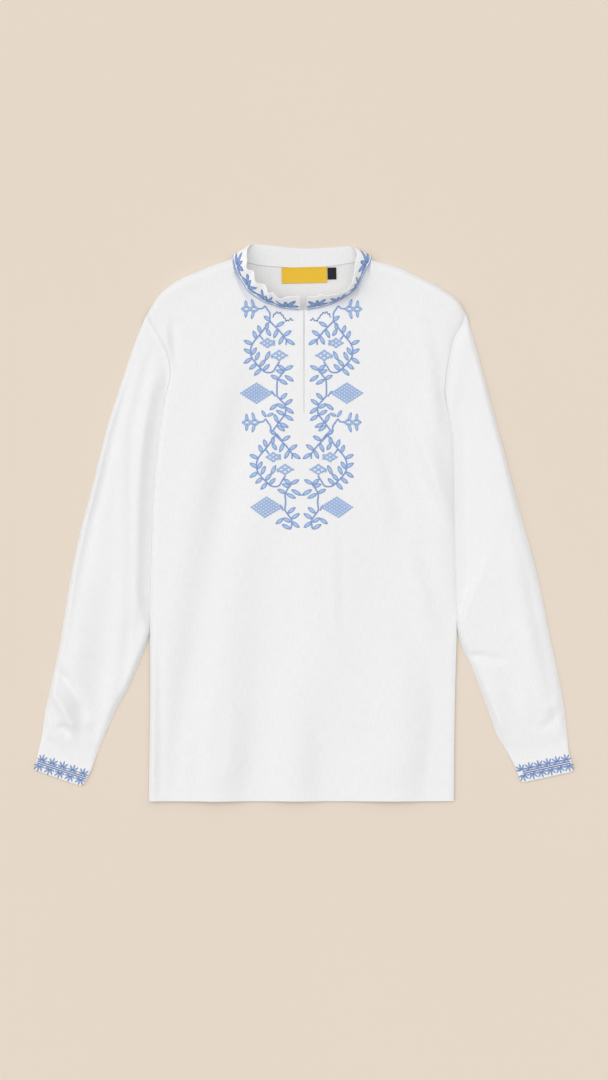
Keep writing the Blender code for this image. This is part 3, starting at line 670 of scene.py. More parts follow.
sleeve = {
    "stations": 176,
    "ringStep": 3.55,  # from ring to ring along the cloth
    "underEdge": 0.6,  # below the body's edge where the sleeve comes out
    "seamDrop": 0.25,  # below the body at the shoulder seam
    "acrossTop": 52,
    "acrossUnder": 28,
    "wall": 0.55,
    "clothTop": 1.3,
    "edgeRadius": 5.0,
    "outerSlope": {-1: 9.0, 1: 13.0},
    "bodySlope": {-1: 27.0, 1: 66.0},
    "valley": {-1: 2.0, 1: 15.0},  # lies low this far out from the body's edge
    "endTop": 3.35,
    "puff": 2.9,  # how much fuller the cloth lies than the flat form
    "left": [  # outer x, outer y, inner x, inner y, bow, loft
        (-216.2, 284.8, -198.8, 119.8, 1.00, 1.7),
        (-233.2, 244.2, -194.0, 76.0, 0.55, 2.0),
        (-253.8, 182.6, -192.5, 30.0, 0.20, 2.3),
        (-267.5, 141.5, -192.5, -12.0, 0.06, 2.5),
        (-278.5, 100.4, -194.0, -52.0, 0.00, 2.6),
        (-292.5, 43.0, -199.0, -98.0, 0.00, 2.6),
        (-304.5, -2.0, -206.0, -132.0, 0.00, 2.6),
        (-316.0, -54.0, -215.0, -163.0, 0.00, 2.5),
        (-325.5, -108.0, -226.5, -191.0, 0.00, 2.5),
        (-334.0, -160.0, -241.0, -225.0, 0.00, 2.5),
        (-343.5, -208.0, -256.0, -252.0, 0.00, 2.4),
        (-354.5, -256.0, -270.5, -284.0, 0.00, 2.2),
        (-359.5, -292.0, -283.0, -315.0, 0.00, 2.2),
        (-364.7, -314.4, -290.7, -337.6, 0.00, 1.3),
    ],
    "right": [
        (221.8, 286.3, 204.1, 119.8, 1.00, 1.7),
        (235.0, 244.2, 199.5, 76.0, 0.55, 2.0),
        (251.7, 182.6, 196.5, 30.0, 0.20, 2.3),
        (262.5, 141.5, 195.5, -12.0, 0.06, 2.5),
        (274.0, 100.4, 197.0, -52.0, 0.00, 2.6),
        (288.5, 43.0, 201.0, -98.0, 0.00, 2.6),
        (301.0, -2.0, 207.5, -136.0, 0.00, 2.6),
        (315.5, -54.0, 215.5, -167.0, 0.00, 2.5),
        (328.0, -108.0, 227.5, -191.0, 0.00, 2.5),
        (338.0, -160.0, 242.0, -228.0, 0.00, 2.5),
        (348.5, -208.0, 254.0, -261.0, 0.00, 2.4),
        (357.0, -256.0, 265.5, -292.0, 0.00, 2.2),
        (361.0, -292.0, 278.0, -313.0, 0.00, 2.2),
        (363.0, -313.2, 287.3, -329.8, 0.00, 1.3),
    ],
    "leftCreases": [  # half width, then y, x, height from the top down
        (12.0, [
            (240.0, -240.0, 0.0), (190.0, -248.0, 2.4), (100.0, -270.0, 3.0), (50.0, -282.0, 3.2),
            (0.0, -295.0, 3.2),
            (-50.0, -306.0, 2.8), (-110.0, -319.0, 2.0), (-190.0, -334.0, 1.4), (-240.0, -344.0, 0.0),
        ]),
        (9.0, [
            (285.0, -205.0, 0.0), (230.0, -222.0, -0.7), (133.0, -252.0, -1.1),
            (13.0, -281.0, -1.1), (-60.0, -300.0, 0.0),
        ]),
        (11.0, [
            (250.0, -216.0, 0.0), (219.0, -222.0, 1.4), (145.0, -237.0, 2.2), (13.0, -241.0, 2.4),
            (-67.0, -242.0, 2.2),
            (-152.0, -246.0, 2.0), (-215.0, -254.0, 1.8), (-290.0, -268.0, 1.2), (-320.0, -272.0, 0.0),
        ]),
        (7.0, [
            (245.0, -202.0, 0.0), (200.0, -211.0, -0.7), (87.0, -229.0, -1.0),
            (-100.0, -233.0, -0.8), (-180.0, -242.0, 0.0),
        ]),
        (18.0, [
            (225.0, -186.0, 0.0), (190.0, -192.0, 4.6), (145.0, -202.0, 6.4), (93.0, -210.0, 7.4),
            (36.0, -214.0, 7.4),
            (-21.0, -218.0, 7.0), (-107.0, -222.0, 5.2), (-150.0, -228.0, 0.0),
        ]),
        (34.0, [
            (-60.0, -286.0, 0.0), (-140.0, -292.0, 4.4), (-220.0, -298.0, 6.0),
            (-300.0, -310.0, 4.0), (-320.0, -314.0, 0.0),
        ]),
    ],
    "rightCreases": [
        (16.0, [
            (30.0, 284.0, 0.0), (-30.0, 294.0, 2.2), (-67.0, 301.0, 3.2), (-124.0, 311.0, 3.8),
            (-198.0, 327.0, 3.6),
            (-238.0, 334.0, 2.6), (-285.0, 341.0, 0.0),
        ]),
        (14.0, [
            (-200.0, 260.0, 0.0), (-238.0, 273.0, 1.6), (-272.0, 300.0, 1.8), (-300.0, 311.0, 0.9),
            (-318.0, 315.0, 0.0),
        ]),
    ],
    "leftFolds": [  # x1, y1, x2, y2, half width, height
        (-334.0, -202.0, -300.0, -262.0, 8.0, -2.2),
        (-346.0, -228.0, -312.0, -282.0, 7.0, 2.2),
        (-334.0, -276.0, -322.0, -290.0, 6.0, -1.8),
        (-300.0, -268.0, -292.0, -305.0, 8.0, 0.7),
        (-352.0, -298.0, -336.0, -310.0, 5.0, -1.0),
    ],
    "rightFolds": [
        (226.0, -182.0, 272.0, -186.0, 5.0, -1.3),
        (232.0, -196.0, 268.0, -200.0, 7.0, 0.4),
        (242.0, -212.0, 276.0, -296.0, 7.0, 0.9),
        (296.0, -210.0, 316.0, -290.0, 9.0, 0.6),
        (346.0, -262.0, 328.0, -284.0, 6.0, -0.9),
        (347.0, -244.0, 330.0, -258.0, 7.0, 0.7),
        (352.0, -300.0, 326.0, -308.0, 5.0, -0.9),
    ],
}


def crowded(count):  # shares from 0 to 1, closer together at both ends
    t = np.linspace(0.0, 1.0, count + 1)
    return t - 0.85 * np.sin(math.tau * t) / math.tau


def addTube(name, ringAt, stations):
    # ringAt gives the outer points, the inner points and the weave of one ring
    outer, inner, weave = [], [], []
    for k in range(stations + 1):
        one, other, flat = ringAt(k)
        outer.append(one)
        inner.append(other)
        weave.append(flat)
    places = np.array(outer + inner[::-1] + outer[:1])
    flats = np.array(weave + weave[::-1] + weave[:1])
    rows, columns = places.shape[0] - 1, places.shape[1] - 1
    piece = clothGrid(name, columns, rows)
    layGrid(piece, columns, rows, places, flats)
    weldAndOrient(piece)
    smoothShaded(piece)
    return piece


def addSleeve(name, sections, armhole, creases, folds, outward, seed):
    stations = smoothCurve(sections, np.linspace(0, 1, sleeve["stations"] + 1), reach=4)
    shares = np.linspace(0, 1, 61)
    hole = smoothCurve(armhole, 1.0 - shares) + np.array([-1.2 * outward, 0.0])
    bowAt = hole - (hole[0] + shares[:, None] * (hole[-1] - hole[0]))
    upper, under = crowded(sleeve["acrossTop"]), crowded(sleeve["acrossUnder"])[::-1][1:]
    middle = sleeve["clothTop"] / 2
    column = 0 if outward < 0 else -1
    edgeX, edgeY = frontPlan[:, column, 0], frontPlan[:, column, 1]
    edgeTop = frontHeight[:, column]

    def ringAt(k):
        outerX, outerY, innerX, innerY, bow, loft = stations[k]
        outer, inner = np.array([outerX, outerY]), np.array([innerX, innerY])
        if k == sleeve["stations"]:  # the end is tucked just under the cuff
            tuck = (outer + inner - stations[k - 1][:2] - stations[k - 1][2:4]) / 2
            outer, inner = outer + 0.4 * tuck, inner + 0.4 * tuck
        width = np.linalg.norm(inner - outer)
        hidden = (np.interp(inner[1], edgeY, edgeX) - inner[0]) * outward

        def planAt(places):
            bend = np.column_stack([np.interp(places, shares, bowAt[:, axis]) for axis in (0, 1)])
            return outer + places[:, None] * (inner - outer) + bow * bend

        def sideHeights(places, plan, top):
            edge = np.minimum(places, 1.0 - places) * width
            if not top:
                waves = softNoise(plan[:, 0], plan[:, 1] * 0.6, 26.0, seed + 3)
                ripple = np.clip(0.7 * waves, 0.0, 0.6) * smoothStep((edge - 8.0) / 16.0)
                return middle * (1.0 - quarterRound(edge, 2.0)) + ripple
            x, y = plan[:, 0], plan[:, 1]
            fromOuter = places * width
            fromBody = np.maximum((x - np.interp(y, edgeY, edgeX)) * outward, 0.0)
            outerSlope = sleeve["outerSlope"][outward]
            wider = sleeve["bodySlope"][outward] - outerSlope
            innerSlope = outerSlope + wider * smoothStep(hidden / 10.0)
            low = sleeve["valley"][outward] * smoothStep(hidden / 6.0)
            low = low * (1.0 - smoothStep((bow - 0.3) / 0.4))
            nearBody = 1.0 - smoothStep(fromBody / 15.0)
            fromBody = np.maximum(fromBody - low, 0.0) if hidden > 0 else (1.0 - places) * width
            swell = np.sin(np.pi / 2 * np.clip(fromOuter / outerSlope, 0.0, 1.0))
            swell = swell * np.sin(np.pi / 2 * np.clip(fromBody / innerSlope, 0.0, 1.0))
            bump = loft + creaseHeight(creases, x, y) / sleeve["puff"] + foldHeight(folds, x, y)
            bump = bump + 0.4 * softNoise(x, y, 60.0, seed) + 0.15 * softNoise(x, y, 22.0, seed + 1)
            toEnd = sleeve["stations"] - k
            puff = 1.0 + (sleeve["puff"] - 1.0) * smoothStep(toEnd / 26.0)
            full = middle + puff * swell * np.maximum(bump, 0.0)
            full = full + 0.05 * softNoise(x, y, 7.0, seed + 2) * swell
            atEnd = 1.0 - smoothStep(toEnd / 9.0)
            full = full + atEnd * (sleeve["endTop"] - middle - full)
            top = middle + full * quarterRound(edge, sleeve["edgeRadius"] - 2.0 * atEnd)
            atSeam = smoothStep(1.0 - 5.0 * (1.0 - bow))
            bodyTop = np.interp(y, edgeY, edgeTop)
            if outward > 0 and hidden > 0:  # comes out from under the right edge at its height
                rise = np.maximum(bodyTop - sleeve["underEdge"] - top, 0.0)
                top = top + nearBody * smoothStep(hidden / 5.0) * rise
            return top + atSeam * (bodyTop - sleeve["seamDrop"] - top)

        def skin(inset, drop):
            share = inset / width
            points = []
            for places, top in ((upper, True), (under, False)):
                places = share + (1.0 - 2.0 * share) * places
                plan = planAt(places)
                whole = places if inset == 0 else (places - share) / (1 - 2 * share)
                height = sideHeights(whole, plan, top)
                above = height - middle
                if not top:
                    height = middle + above * (1.0 - drop / middle)
                elif drop:
                    height = middle + above * np.maximum(above - drop, 0.02) / np.maximum(above, 0.02)
                points.append(np.column_stack([plan, height]))
            return np.vstack(points)

        along = k * sleeve["ringStep"]
        around = np.concatenate([upper * width, width + (1.0 - under) * width])
        flatWeave = np.column_stack([around, np.full(len(around), -along)])
        return skin(0.0, 0.0), skin(sleeve["wall"], sleeve["wall"]), flatWeave

    return addTube(name, ringAt, sleeve["stations"])


sleeveLeft = addSleeve(
    "sleeveLeft", sleeve["left"], body["armholeLeft"],
    sleeve["leftCreases"], sleeve["leftFolds"], -1, 21,
)
finishPiece(sleeveLeft, linenCloth, ["sleeve_left"])
sleeveRight = addSleeve(
    "sleeveRight", sleeve["right"], body["armholeRight"],
    sleeve["rightCreases"], sleeve["rightFolds"], 1, 31,
)
finishPiece(sleeveRight, linenCloth, ["sleeve_right"])
print("sleeves laid")


# Cuffs

cuff = {
    "wall": 1.5,
    "top": 3.7,
    "rows": 12,
    "ringStep": 2.1,
    "acrossTop": 36,
    "acrossUnder": 16,
    "corner": 4.5,
    "left": [
        (-364.72, -314.42, -290.72, -337.62), (-366.9, -326.5, -297.2, -349.5),
        (-369.1, -338.0, -303.4, -361.3),
    ],
    "right": [
        (363.02, -313.22, 287.32, -329.82), (366.4, -327.0, 292.3, -343.0),
        (369.1, -340.4, 297.2, -356.0),
    ],
}


def addCuff(name, sections, seed):
    nearEnd = [0.8, 0.87, 0.92, 0.955, 0.98, 1.0]
    shares = np.concatenate([np.linspace(0.0, 0.7, cuff["rows"] - 5), nearEnd])
    stations = smoothCurve(sections, shares)
    depth = 24.0 * (1.0 - shares)
    upper, under = crowded(cuff["acrossTop"]), crowded(cuff["acrossUnder"])[::-1][1:]
    middle = cuff["top"] / 2

    def ringAt(k):
        outer, inner = stations[k][:2], stations[k][2:]
        width = np.linalg.norm(inner - outer)
        fold = float(quarterRound(depth[k], 2.5))
        rounding = 0.15 * (k == 0) + (1.0 - fold) * (middle - 0.9)
        short = max(cuff["corner"] - depth[k], 0.0)
        trim = cuff["corner"] - math.sqrt(cuff["corner"] ** 2 - short**2)
        inward = (inner - outer) / width
        outer, inner, width = outer + 0.6 * trim * inward, inner - trim * inward, width - 1.6 * trim

        def skin(inset):
            share = inset / width
            points = []
            for places, side in ((upper, 1.0), (under, -1.0)):
                reach = quarterRound(np.minimum(places, 1.0 - places) * width, 3.0)
                plan = outer + (share + (1.0 - 2.0 * share) * places)[:, None] * (inner - outer)
                wave = 0.12 * softNoise(plan[:, 0], plan[:, 1], 12.0, seed) if side > 0 else 0.0
                half = (middle - rounding + wave) * reach
                if inset:
                    half = np.maximum(half - cuff["wall"], 0.02)
                points.append(np.column_stack([plan, middle + side * half]))
            return np.vstack(points)

        around = np.concatenate([upper * width, width + (1.0 - under) * width])
        flatWeave = np.column_stack([around, np.full(len(around), -cuff["ringStep"] * k)])
        return skin(0.0), skin(cuff["wall"]), flatWeave

    return addTube(name, ringAt, cuff["rows"])


cuffLeft = addCuff("cuffLeft", cuff["left"], 41)
finishPiece(cuffLeft, linenCloth, ["cuff_left"])
cuffRight = addCuff("cuffRight", cuff["right"], 43)
finishPiece(cuffRight, linenCloth, ["cuff_right"])
print("cuffs laid")


# Collar band

collar = {
    "wall": 1.5,
    "bow": 1.2,
    "stations": 220,
    "heightCells": 14,
    "sections": [  # seam x, seam y, seam z, free x, free y, free z
        (-5.1, 291.7, 3.4, -5.4, 309.0, 23.6),
        (-32.0, 295.6, 3.4, -36.5, 308.4, 26.2),
        (-61.0, 306.3, 3.4, -52.4, 320.8, 24.2),
        (-74.5, 315.8, 3.4, -63.6, 330.0, 23.6),
        (-86.2, 331.9, 3.4, -72.8, 344.8, 22.9),
        (-93.8, 347.0, 3.4, -79.2, 357.8, 22.2),
        (-97.2, 358.0, 3.4, -77.5, 368.5, 17.5),
        (-98.6, 363.2, 3.4, -75.5, 376.6, 11.0),
        (-98.0, 366.0, 2.2, -73.0, 381.4, 5.4),
        (-92.0, 363.4, 0.8, -69.0, 382.6, 1.8),
        (-81.0, 358.6, 0.8, -64.0, 382.6, 0.8),
        (-63.4, 354.3, 0.8, -54.0, 381.4, 0.8),
        (-30.8, 351.2, 0.8, -29.0, 378.8, 0.8),
        (0.0, 350.4, 0.8, -1.0, 376.6, 0.8),
        (43.5, 353.4, 0.8, 37.5, 378.2, 0.8),
        (70.4, 358.4, 0.8, 56.5, 379.4, 0.8),
        (86.5, 362.6, 0.8, 63.5, 379.2, 1.8),
        (93.2, 364.8, 2.2, 68.0, 377.8, 5.4),
        (93.4, 361.6, 3.4, 70.4, 373.0, 11.0),
        (91.2, 356.5, 3.4, 71.6, 364.8, 17.5),
        (86.0, 348.2, 3.4, 69.6, 351.8, 22.6),
        (78.6, 336.2, 3.4, 66.6, 335.4, 26.4),
        (71.0, 322.6, 3.4, 64.2, 323.6, 28.4),
        (55.6, 310.6, 3.4, 52.0, 313.4, 28.8),
        (41.0, 302.0, 3.4, 39.4, 310.8, 27.8),
        (25.0, 296.4, 3.4, 24.4, 310.6, 25.6),
        (3.7, 292.0, 3.4, 3.5, 307.8, 24.4),
    ],
}
bandRows = smoothCurve(collar["sections"], np.linspace(0, 1, collar["stations"] + 1))
bandSeam, bandFree = bandRows[:, :3], bandRows[:, 3:].copy()
bandSeamLength = np.concatenate([[0.0], np.cumsum(np.linalg.norm(np.diff(bandSeam, axis=0), axis=1))])
bandLean = bandFree[:, :2] - bandSeam[:, :2]
bandLean /= np.linalg.norm(bandLean, axis=1)[:, None]
leftFront = smoothStep((150.0 - bandSeamLength) / 50.0) * smoothStep(bandSeamLength / 20.0)
bandWave = 2.6 * leftFront * np.sin(bandSeamLength * math.tau / 26.0 - 0.9)
bandWave = bandWave + 0.5 * np.sin(bandSeamLength * math.tau / 17.0)
bandFree[:, :2] += bandWave[:, None] * bandLean * smoothStep((bandFree[:, 2:] - 3.0) / 12.0)
bandAlong = np.gradient(bandSeam + bandFree, axis=0)
bandOut = np.cross(bandFree - bandSeam, bandAlong)
bandOut /= np.linalg.norm(bandOut, axis=1)[:, None]
bandStanding = smoothStep((bandFree[:, 2] - 3.0) / 12.0)


def bandPoint(k, share, out):  # a place on the band: station, height share, distance out of its middle
    bulge = collar["bow"] * bandStanding[k] * math.sin(math.pi * min(max(share, 0.0), 1.0))
    return bandSeam[k] + share * (bandFree[k] - bandSeam[k]) + (bulge + out) * bandOut[k]


def addCollar():
    half = collar["wall"] / 2
    cells = collar["heightCells"]
    outline = [(share, half) for share in np.linspace(0.0, 0.97, cells + 1)]
    outline += [(0.99, 0.7 * half), (1.0, 0.0), (0.99, -0.7 * half)]
    outline += [(share, -half) for share in np.linspace(0.97, 0.0, cells + 1)]
    outline += [(0.0, half)]
    wavy = 0.016 * np.sin(bandSeamLength * 0.41 + 1.0) + 0.02 * np.sin(bandSeamLength * 0.24)
    places, flats = [], []
    for k in range(collar["stations"] + 1):
        stretch = 1.0 + wavy[k] * bandStanding[k]
        places.append([bandPoint(k, share * stretch, out) for share, out in outline])
        flats.append([
            (bandSeamLength[k], 26.7 * share + (40.0 if out < 0 else 0.0)) for share, out in outline
        ])
    places, flats = np.array(places), np.array(flats)
    first = np.repeat(places[:1].mean(axis=1, keepdims=True), places.shape[1], axis=1)
    last = np.repeat(places[-1:].mean(axis=1, keepdims=True), places.shape[1], axis=1)
    places = np.concatenate([first, places, last])
    flats = np.concatenate([flats[:1], flats, flats[-1:]])
    rows, columns = places.shape[0] - 1, places.shape[1] - 1
    piece = clothGrid("collarBand", columns, rows)
    layGrid(piece, columns, rows, places, flats)
    weldAndOrient(piece)
    smoothShaded(piece)
    return piece


collarBand = addCollar()
finishPiece(collarBand, linenDoublePaintedShade, ["collar_band"])
collarBand.data.materials.append(linenOuterPaintedLight)
bandWeave = collarBand.data.uv_layers["weave"].data
for face in collarBand.data.polygons:  # the outer, embroidered side gets a lighter copy of the linen: painted light on a face that leans away from the lamps
    face.material_index = 1 if max(bandWeave[k].uv[1] for k in face.loop_indices) < 30.0 * mm else 0
print("collar laid")


# Embroidery shapes, each modelled once at 1 mm and copied

satin = {"height": 0.75, "stemWidth": 2.2, "stemHeight": 0.8}


def makeLeafShape():  # a low pointed dome, 1 long and 1 wide, with a crease down its middle
    deselectAll()
    bpy.ops.mesh.primitive_uv_sphere_add(segments=12, ring_count=6, radius=0.5)
    leaf = bpy.context.object
    leaf.name = "leafShape"
    bpy.ops.object.mode_set(mode="EDIT")
    bpy.ops.mesh.select_all(action="SELECT")
    bpy.ops.transform.rotate(value=math.radians(90), orient_axis="Y", center_override=(0, 0, 0))
    bpy.ops.mesh.bisect(plane_co=(0, 0, 0), plane_no=(0, 0, 1), clear_inner=True)
    bpy.ops.object.mode_set(mode="OBJECT")
    mesh = leaf.data
    mesh.uv_layers[0].name = "stitch"
    for loop in mesh.loops:
        x, y, z = mesh.vertices[loop.vertex_index].co
        alongLeaf = (x - 0.3 * abs(y)) * 11.0 * mm
        fromCrown = math.sqrt(max(1.0 - 4.0 * z * z, 0.0))
        mesh.uv_layers[0].data[loop.index].uv = (alongLeaf, fromCrown)
    for vertex in mesh.vertices:
        x, y, z = vertex.co
        vertex.co.y = y * max(1.0 - 4.0 * x * x, 0.0) ** 0.22
        vertex.co.z = 2.0 * z
    return leaf


def makeBarShape():  # a short rounded satin bar, 1 long and 1 wide
    deselectAll()
    bpy.ops.mesh.primitive_cube_add(size=1.0)
    bar = bpy.context.object
    bar.name = "barShape"
    bpy.ops.object.mode_set(mode="EDIT")
    bpy.ops.mesh.select_all(action="SELECT")
    bpy.ops.mesh.bisect(plane_co=(0, 0, 0), plane_no=(0, 0, 1), clear_inner=True)
    bpy.ops.object.mode_set(mode="OBJECT")
    soften = bar.modifiers.new("soften", "BEVEL")
    soften.width = 0.22
    soften.segments = 2
    soften.limit_method = "ANGLE"
    soften.angle_limit = math.radians(60)
    applyModifiers(bar)
    mesh = bar.data
    mesh.uv_layers[0].name = "stitch"
    for vertex in mesh.vertices:
        vertex.co.z *= 2.0
    for loop in mesh.loops:
        place = mesh.vertices[loop.vertex_index].co
        mesh.uv_layers[0].data[loop.index].uv = (place.x * 3.0 * mm, 0.40 + 0.62 * abs(place.y))
    return bar


leafShape = makeLeafShape()
barShape = makeBarShape()


def stampShape(shape, x, y, turn, length, width, height):  # a copy lying flat at a place, in mm
    copy = shape.copy()
    copy.data = shape.data.copy()
    bpy.context.collection.objects.link(copy)
    copy.location = (x * mm, y * mm, 0.0)
    copy.rotation_euler = (0.0, 0.0, math.radians(turn))
    copy.scale = (length * mm, width * mm, height * mm)
    return copy


def stampStem(paths, width, height, name):  # all stems of a piece as one flat cord
    curve = bpy.data.curves.new(name, "CURVE")
    curve.dimensions = "3D"
    curve.bevel_depth = width / 2 * mm
    curve.bevel_resolution = 1
    curve.use_fill_caps = True
    for path in paths:
        count = max(2, int(pathLength(path) / 2.2) + 1)
        smooth = np.array(path, dtype=float)
        if len(path) > 2:
            smooth = smoothCurve(path, np.linspace(0, 1, count))
        spline = curve.splines.new("POLY")
        spline.points.add(len(smooth) - 1)
        for point, place in zip(spline.points, smooth):
            point.co = (place[0] * mm, place[1] * mm, 0.0, 1.0)
    stems = bpy.data.objects.new(name, curve)
    bpy.context.collection.objects.link(stems)
    pickOnly(stems)
    bpy.ops.object.convert(target="MESH")
    stems = bpy.context.object
    for vertex in stems.data.vertices:
        vertex.co.z = max(vertex.co.z, -0.1 * mm) * (2.0 * height / width)
    return stems


def pathLength(path):
    return sum(math.dist(a[:2], b[:2]) for a, b in zip(path[:-1], path[1:]))


def joinShapes(copies, name):  # one piece from many copies, its place in its mesh
    deselectAll()
    for copy in copies:
        copy.select_set(True)
    bpy.context.view_layer.objects.active = copies[0]
    bpy.ops.object.join()
    piece = bpy.context.object
    piece.name = name
    piece.data.name = name
    bpy.ops.object.transform_apply(location=True, rotation=True, scale=True)
    for polygon in piece.data.polygons:
        polygon.use_smooth = True
    return piece


# Chest embroidery, charted for the viewer's left half:
# x towards the slit, y down, in mm from the upper knot
chest = {
    "knot": (-46.5, 276.0),
    "mirrorShift": -6.4,  # the right half lies a little nearer the slit
    "repeat": (8.0, 156.0),  # from the upper wreath to the lower
    "drift": (4.0, 92.0, 16.0),  # the lower one's stem drifts to the slit about y 92
    "latticeDrift": 2.5,
    "starRepeat": (1.0, 155.0),
    "leafWidth": 6.0,
    "stems": [
        [(0, 0), (8, 8), (13, 13), (18, 19.5), (22, 25), (22, 32)],
        [
            (0, 0), (-4, 4.5), (-8.5, 11), (-16, 20.5), (-23, 29), (-25.5, 34), (-25.5, 48),
            (-19, 57.5), (-12.5, 64), (-8, 68.5), (4, 68.5), (8, 62.5), (13, 55),
        ],
        [(-14, 19), (-9.5, 25)],
        [(21, 66), (14.5, 74), (10.5, 80), (9.5, 90), (9.5, 102)],
        [(2, 95), (7.5, 102.5)],
        [(9.5, 102), (15, 108), (21, 115.5), (21, 127)],
    ],
    "leaves": [  # base x, base y, tip x, tip y
        (0, -1, -8.5, -7.5), (-4, 3, -4.5, 12), (-4.5, 11.5, 1, 20),
        (9.5, 6.5, 20, 0.5), (10.5, 11, 5, 23), (19, 19.5, 29.5, 12.5), (18, 20.5, 12, 32),
        (23, 25, 34, 32),
        (-13, 15.5, -16.5, 5), (-19, 23, -23, 12.5), (-25, 31, -36, 26), (-25.5, 43.5, -36, 37.5),
        (-25.5, 50.5, -36, 57.5), (-19, 58.5, -28.5, 65.5), (-12.5, 65, -22, 74),
        (-24.5, 45, -18.5, 35.5), (-19.5, 52.5, -14.5, 41.5), (-14, 61, -6, 52),
        (-6, 52.5, 0, 40.5), (-9, 66.5, -0.5, 58.5),
        (20.5, 66, 32, 60.5), (19.5, 66, 11, 59.5), (18, 70, 8, 66.5), (10.5, 78.5, 1, 73.5),
        (21, 74.5, 32.5, 82), (13, 80, 24, 86),
        (15, 106, 23.5, 98), (21, 113.5, 31, 106.5), (22, 118.5, 32.5, 126), (19, 118, 9, 112.5),
        (9, 114, -0.5, 121), (19.5, 127.5, 8, 121.5),
    ],
    "lattices": [  # x, y, half sizes, cells
        (-3.5, 29.5, 8.8, 5.6, 2), (12.5, 46.5, 9.8, 6.3, 2), (-18.5, 98, 20.5, 13.2, 6),
    ],
    "stubs": [
        (-14, 29.5, -11, 29.5), (3.5, 26.5, 7, 26.5), (3.5, 32, 7, 32), (22, 46.5, 25, 46.5),
        (1, 49, 4.5, 49.5),
    ],
    "linkStems": [
        [(21, 127), (12.5, 137.5), (7, 145), (2, 152)],
        [(2, 153.5), (8, 153.5), (12, 157.5), (16, 163)],
    ],
    "linkLeaves": [
        (21.5, 129, 32, 135.5), (10.5, 137.5, 5.5, 126.5), (13.5, 139.5, 25.5, 145),
        (10.5, 143, 20.5, 150),
    ],
    "starStem": [(-15, -17.5), (-9.5, -18.5), (-7.5, -21.5), (-4, -17), (-0.5, -12), (0, -4)],
    "stars": [  # x, y, lean of the long petals, their reach
        (-32.5, -17, 1.0, 12.0), (-22, -17, 3.5, 14.0),
    ],
    "starLeaves": [(-7, -25, -12.5, -33.5), (-4, -26, 4, -29.5)],
    "zigzag": [
        (3, -3.5), (6, -10.5), (9.5, -12.5), (13.5, -12), (19, -6), (23, -0.5), (28.5, -3.5),
        (33, 0),
    ],
}


def leafFrom(baseX, baseY, tipX, tipY, width, height=satin["height"]):  # a leaf from its base to its tip
    turn = math.degrees(math.atan2(tipY - baseY, tipX - baseX))
    length = math.hypot(tipX - baseX, tipY - baseY)
    baseX, baseY = baseX - (tipX - baseX) * 1.4 / length, baseY - (tipY - baseY) * 1.4 / length
    return stampShape(leafShape, (baseX + tipX) / 2, (baseY + tipY) / 2, turn, length + 1.8, width, height)


def barFrom(startX, startY, endX, endY, width, height=0.7):
    turn = math.degrees(math.atan2(endY - startY, endX - startX))
    length = math.hypot(endX - startX, endY - startY)
    return stampShape(barShape, (startX + endX) / 2, (startY + endY) / 2, turn, length, width, height)


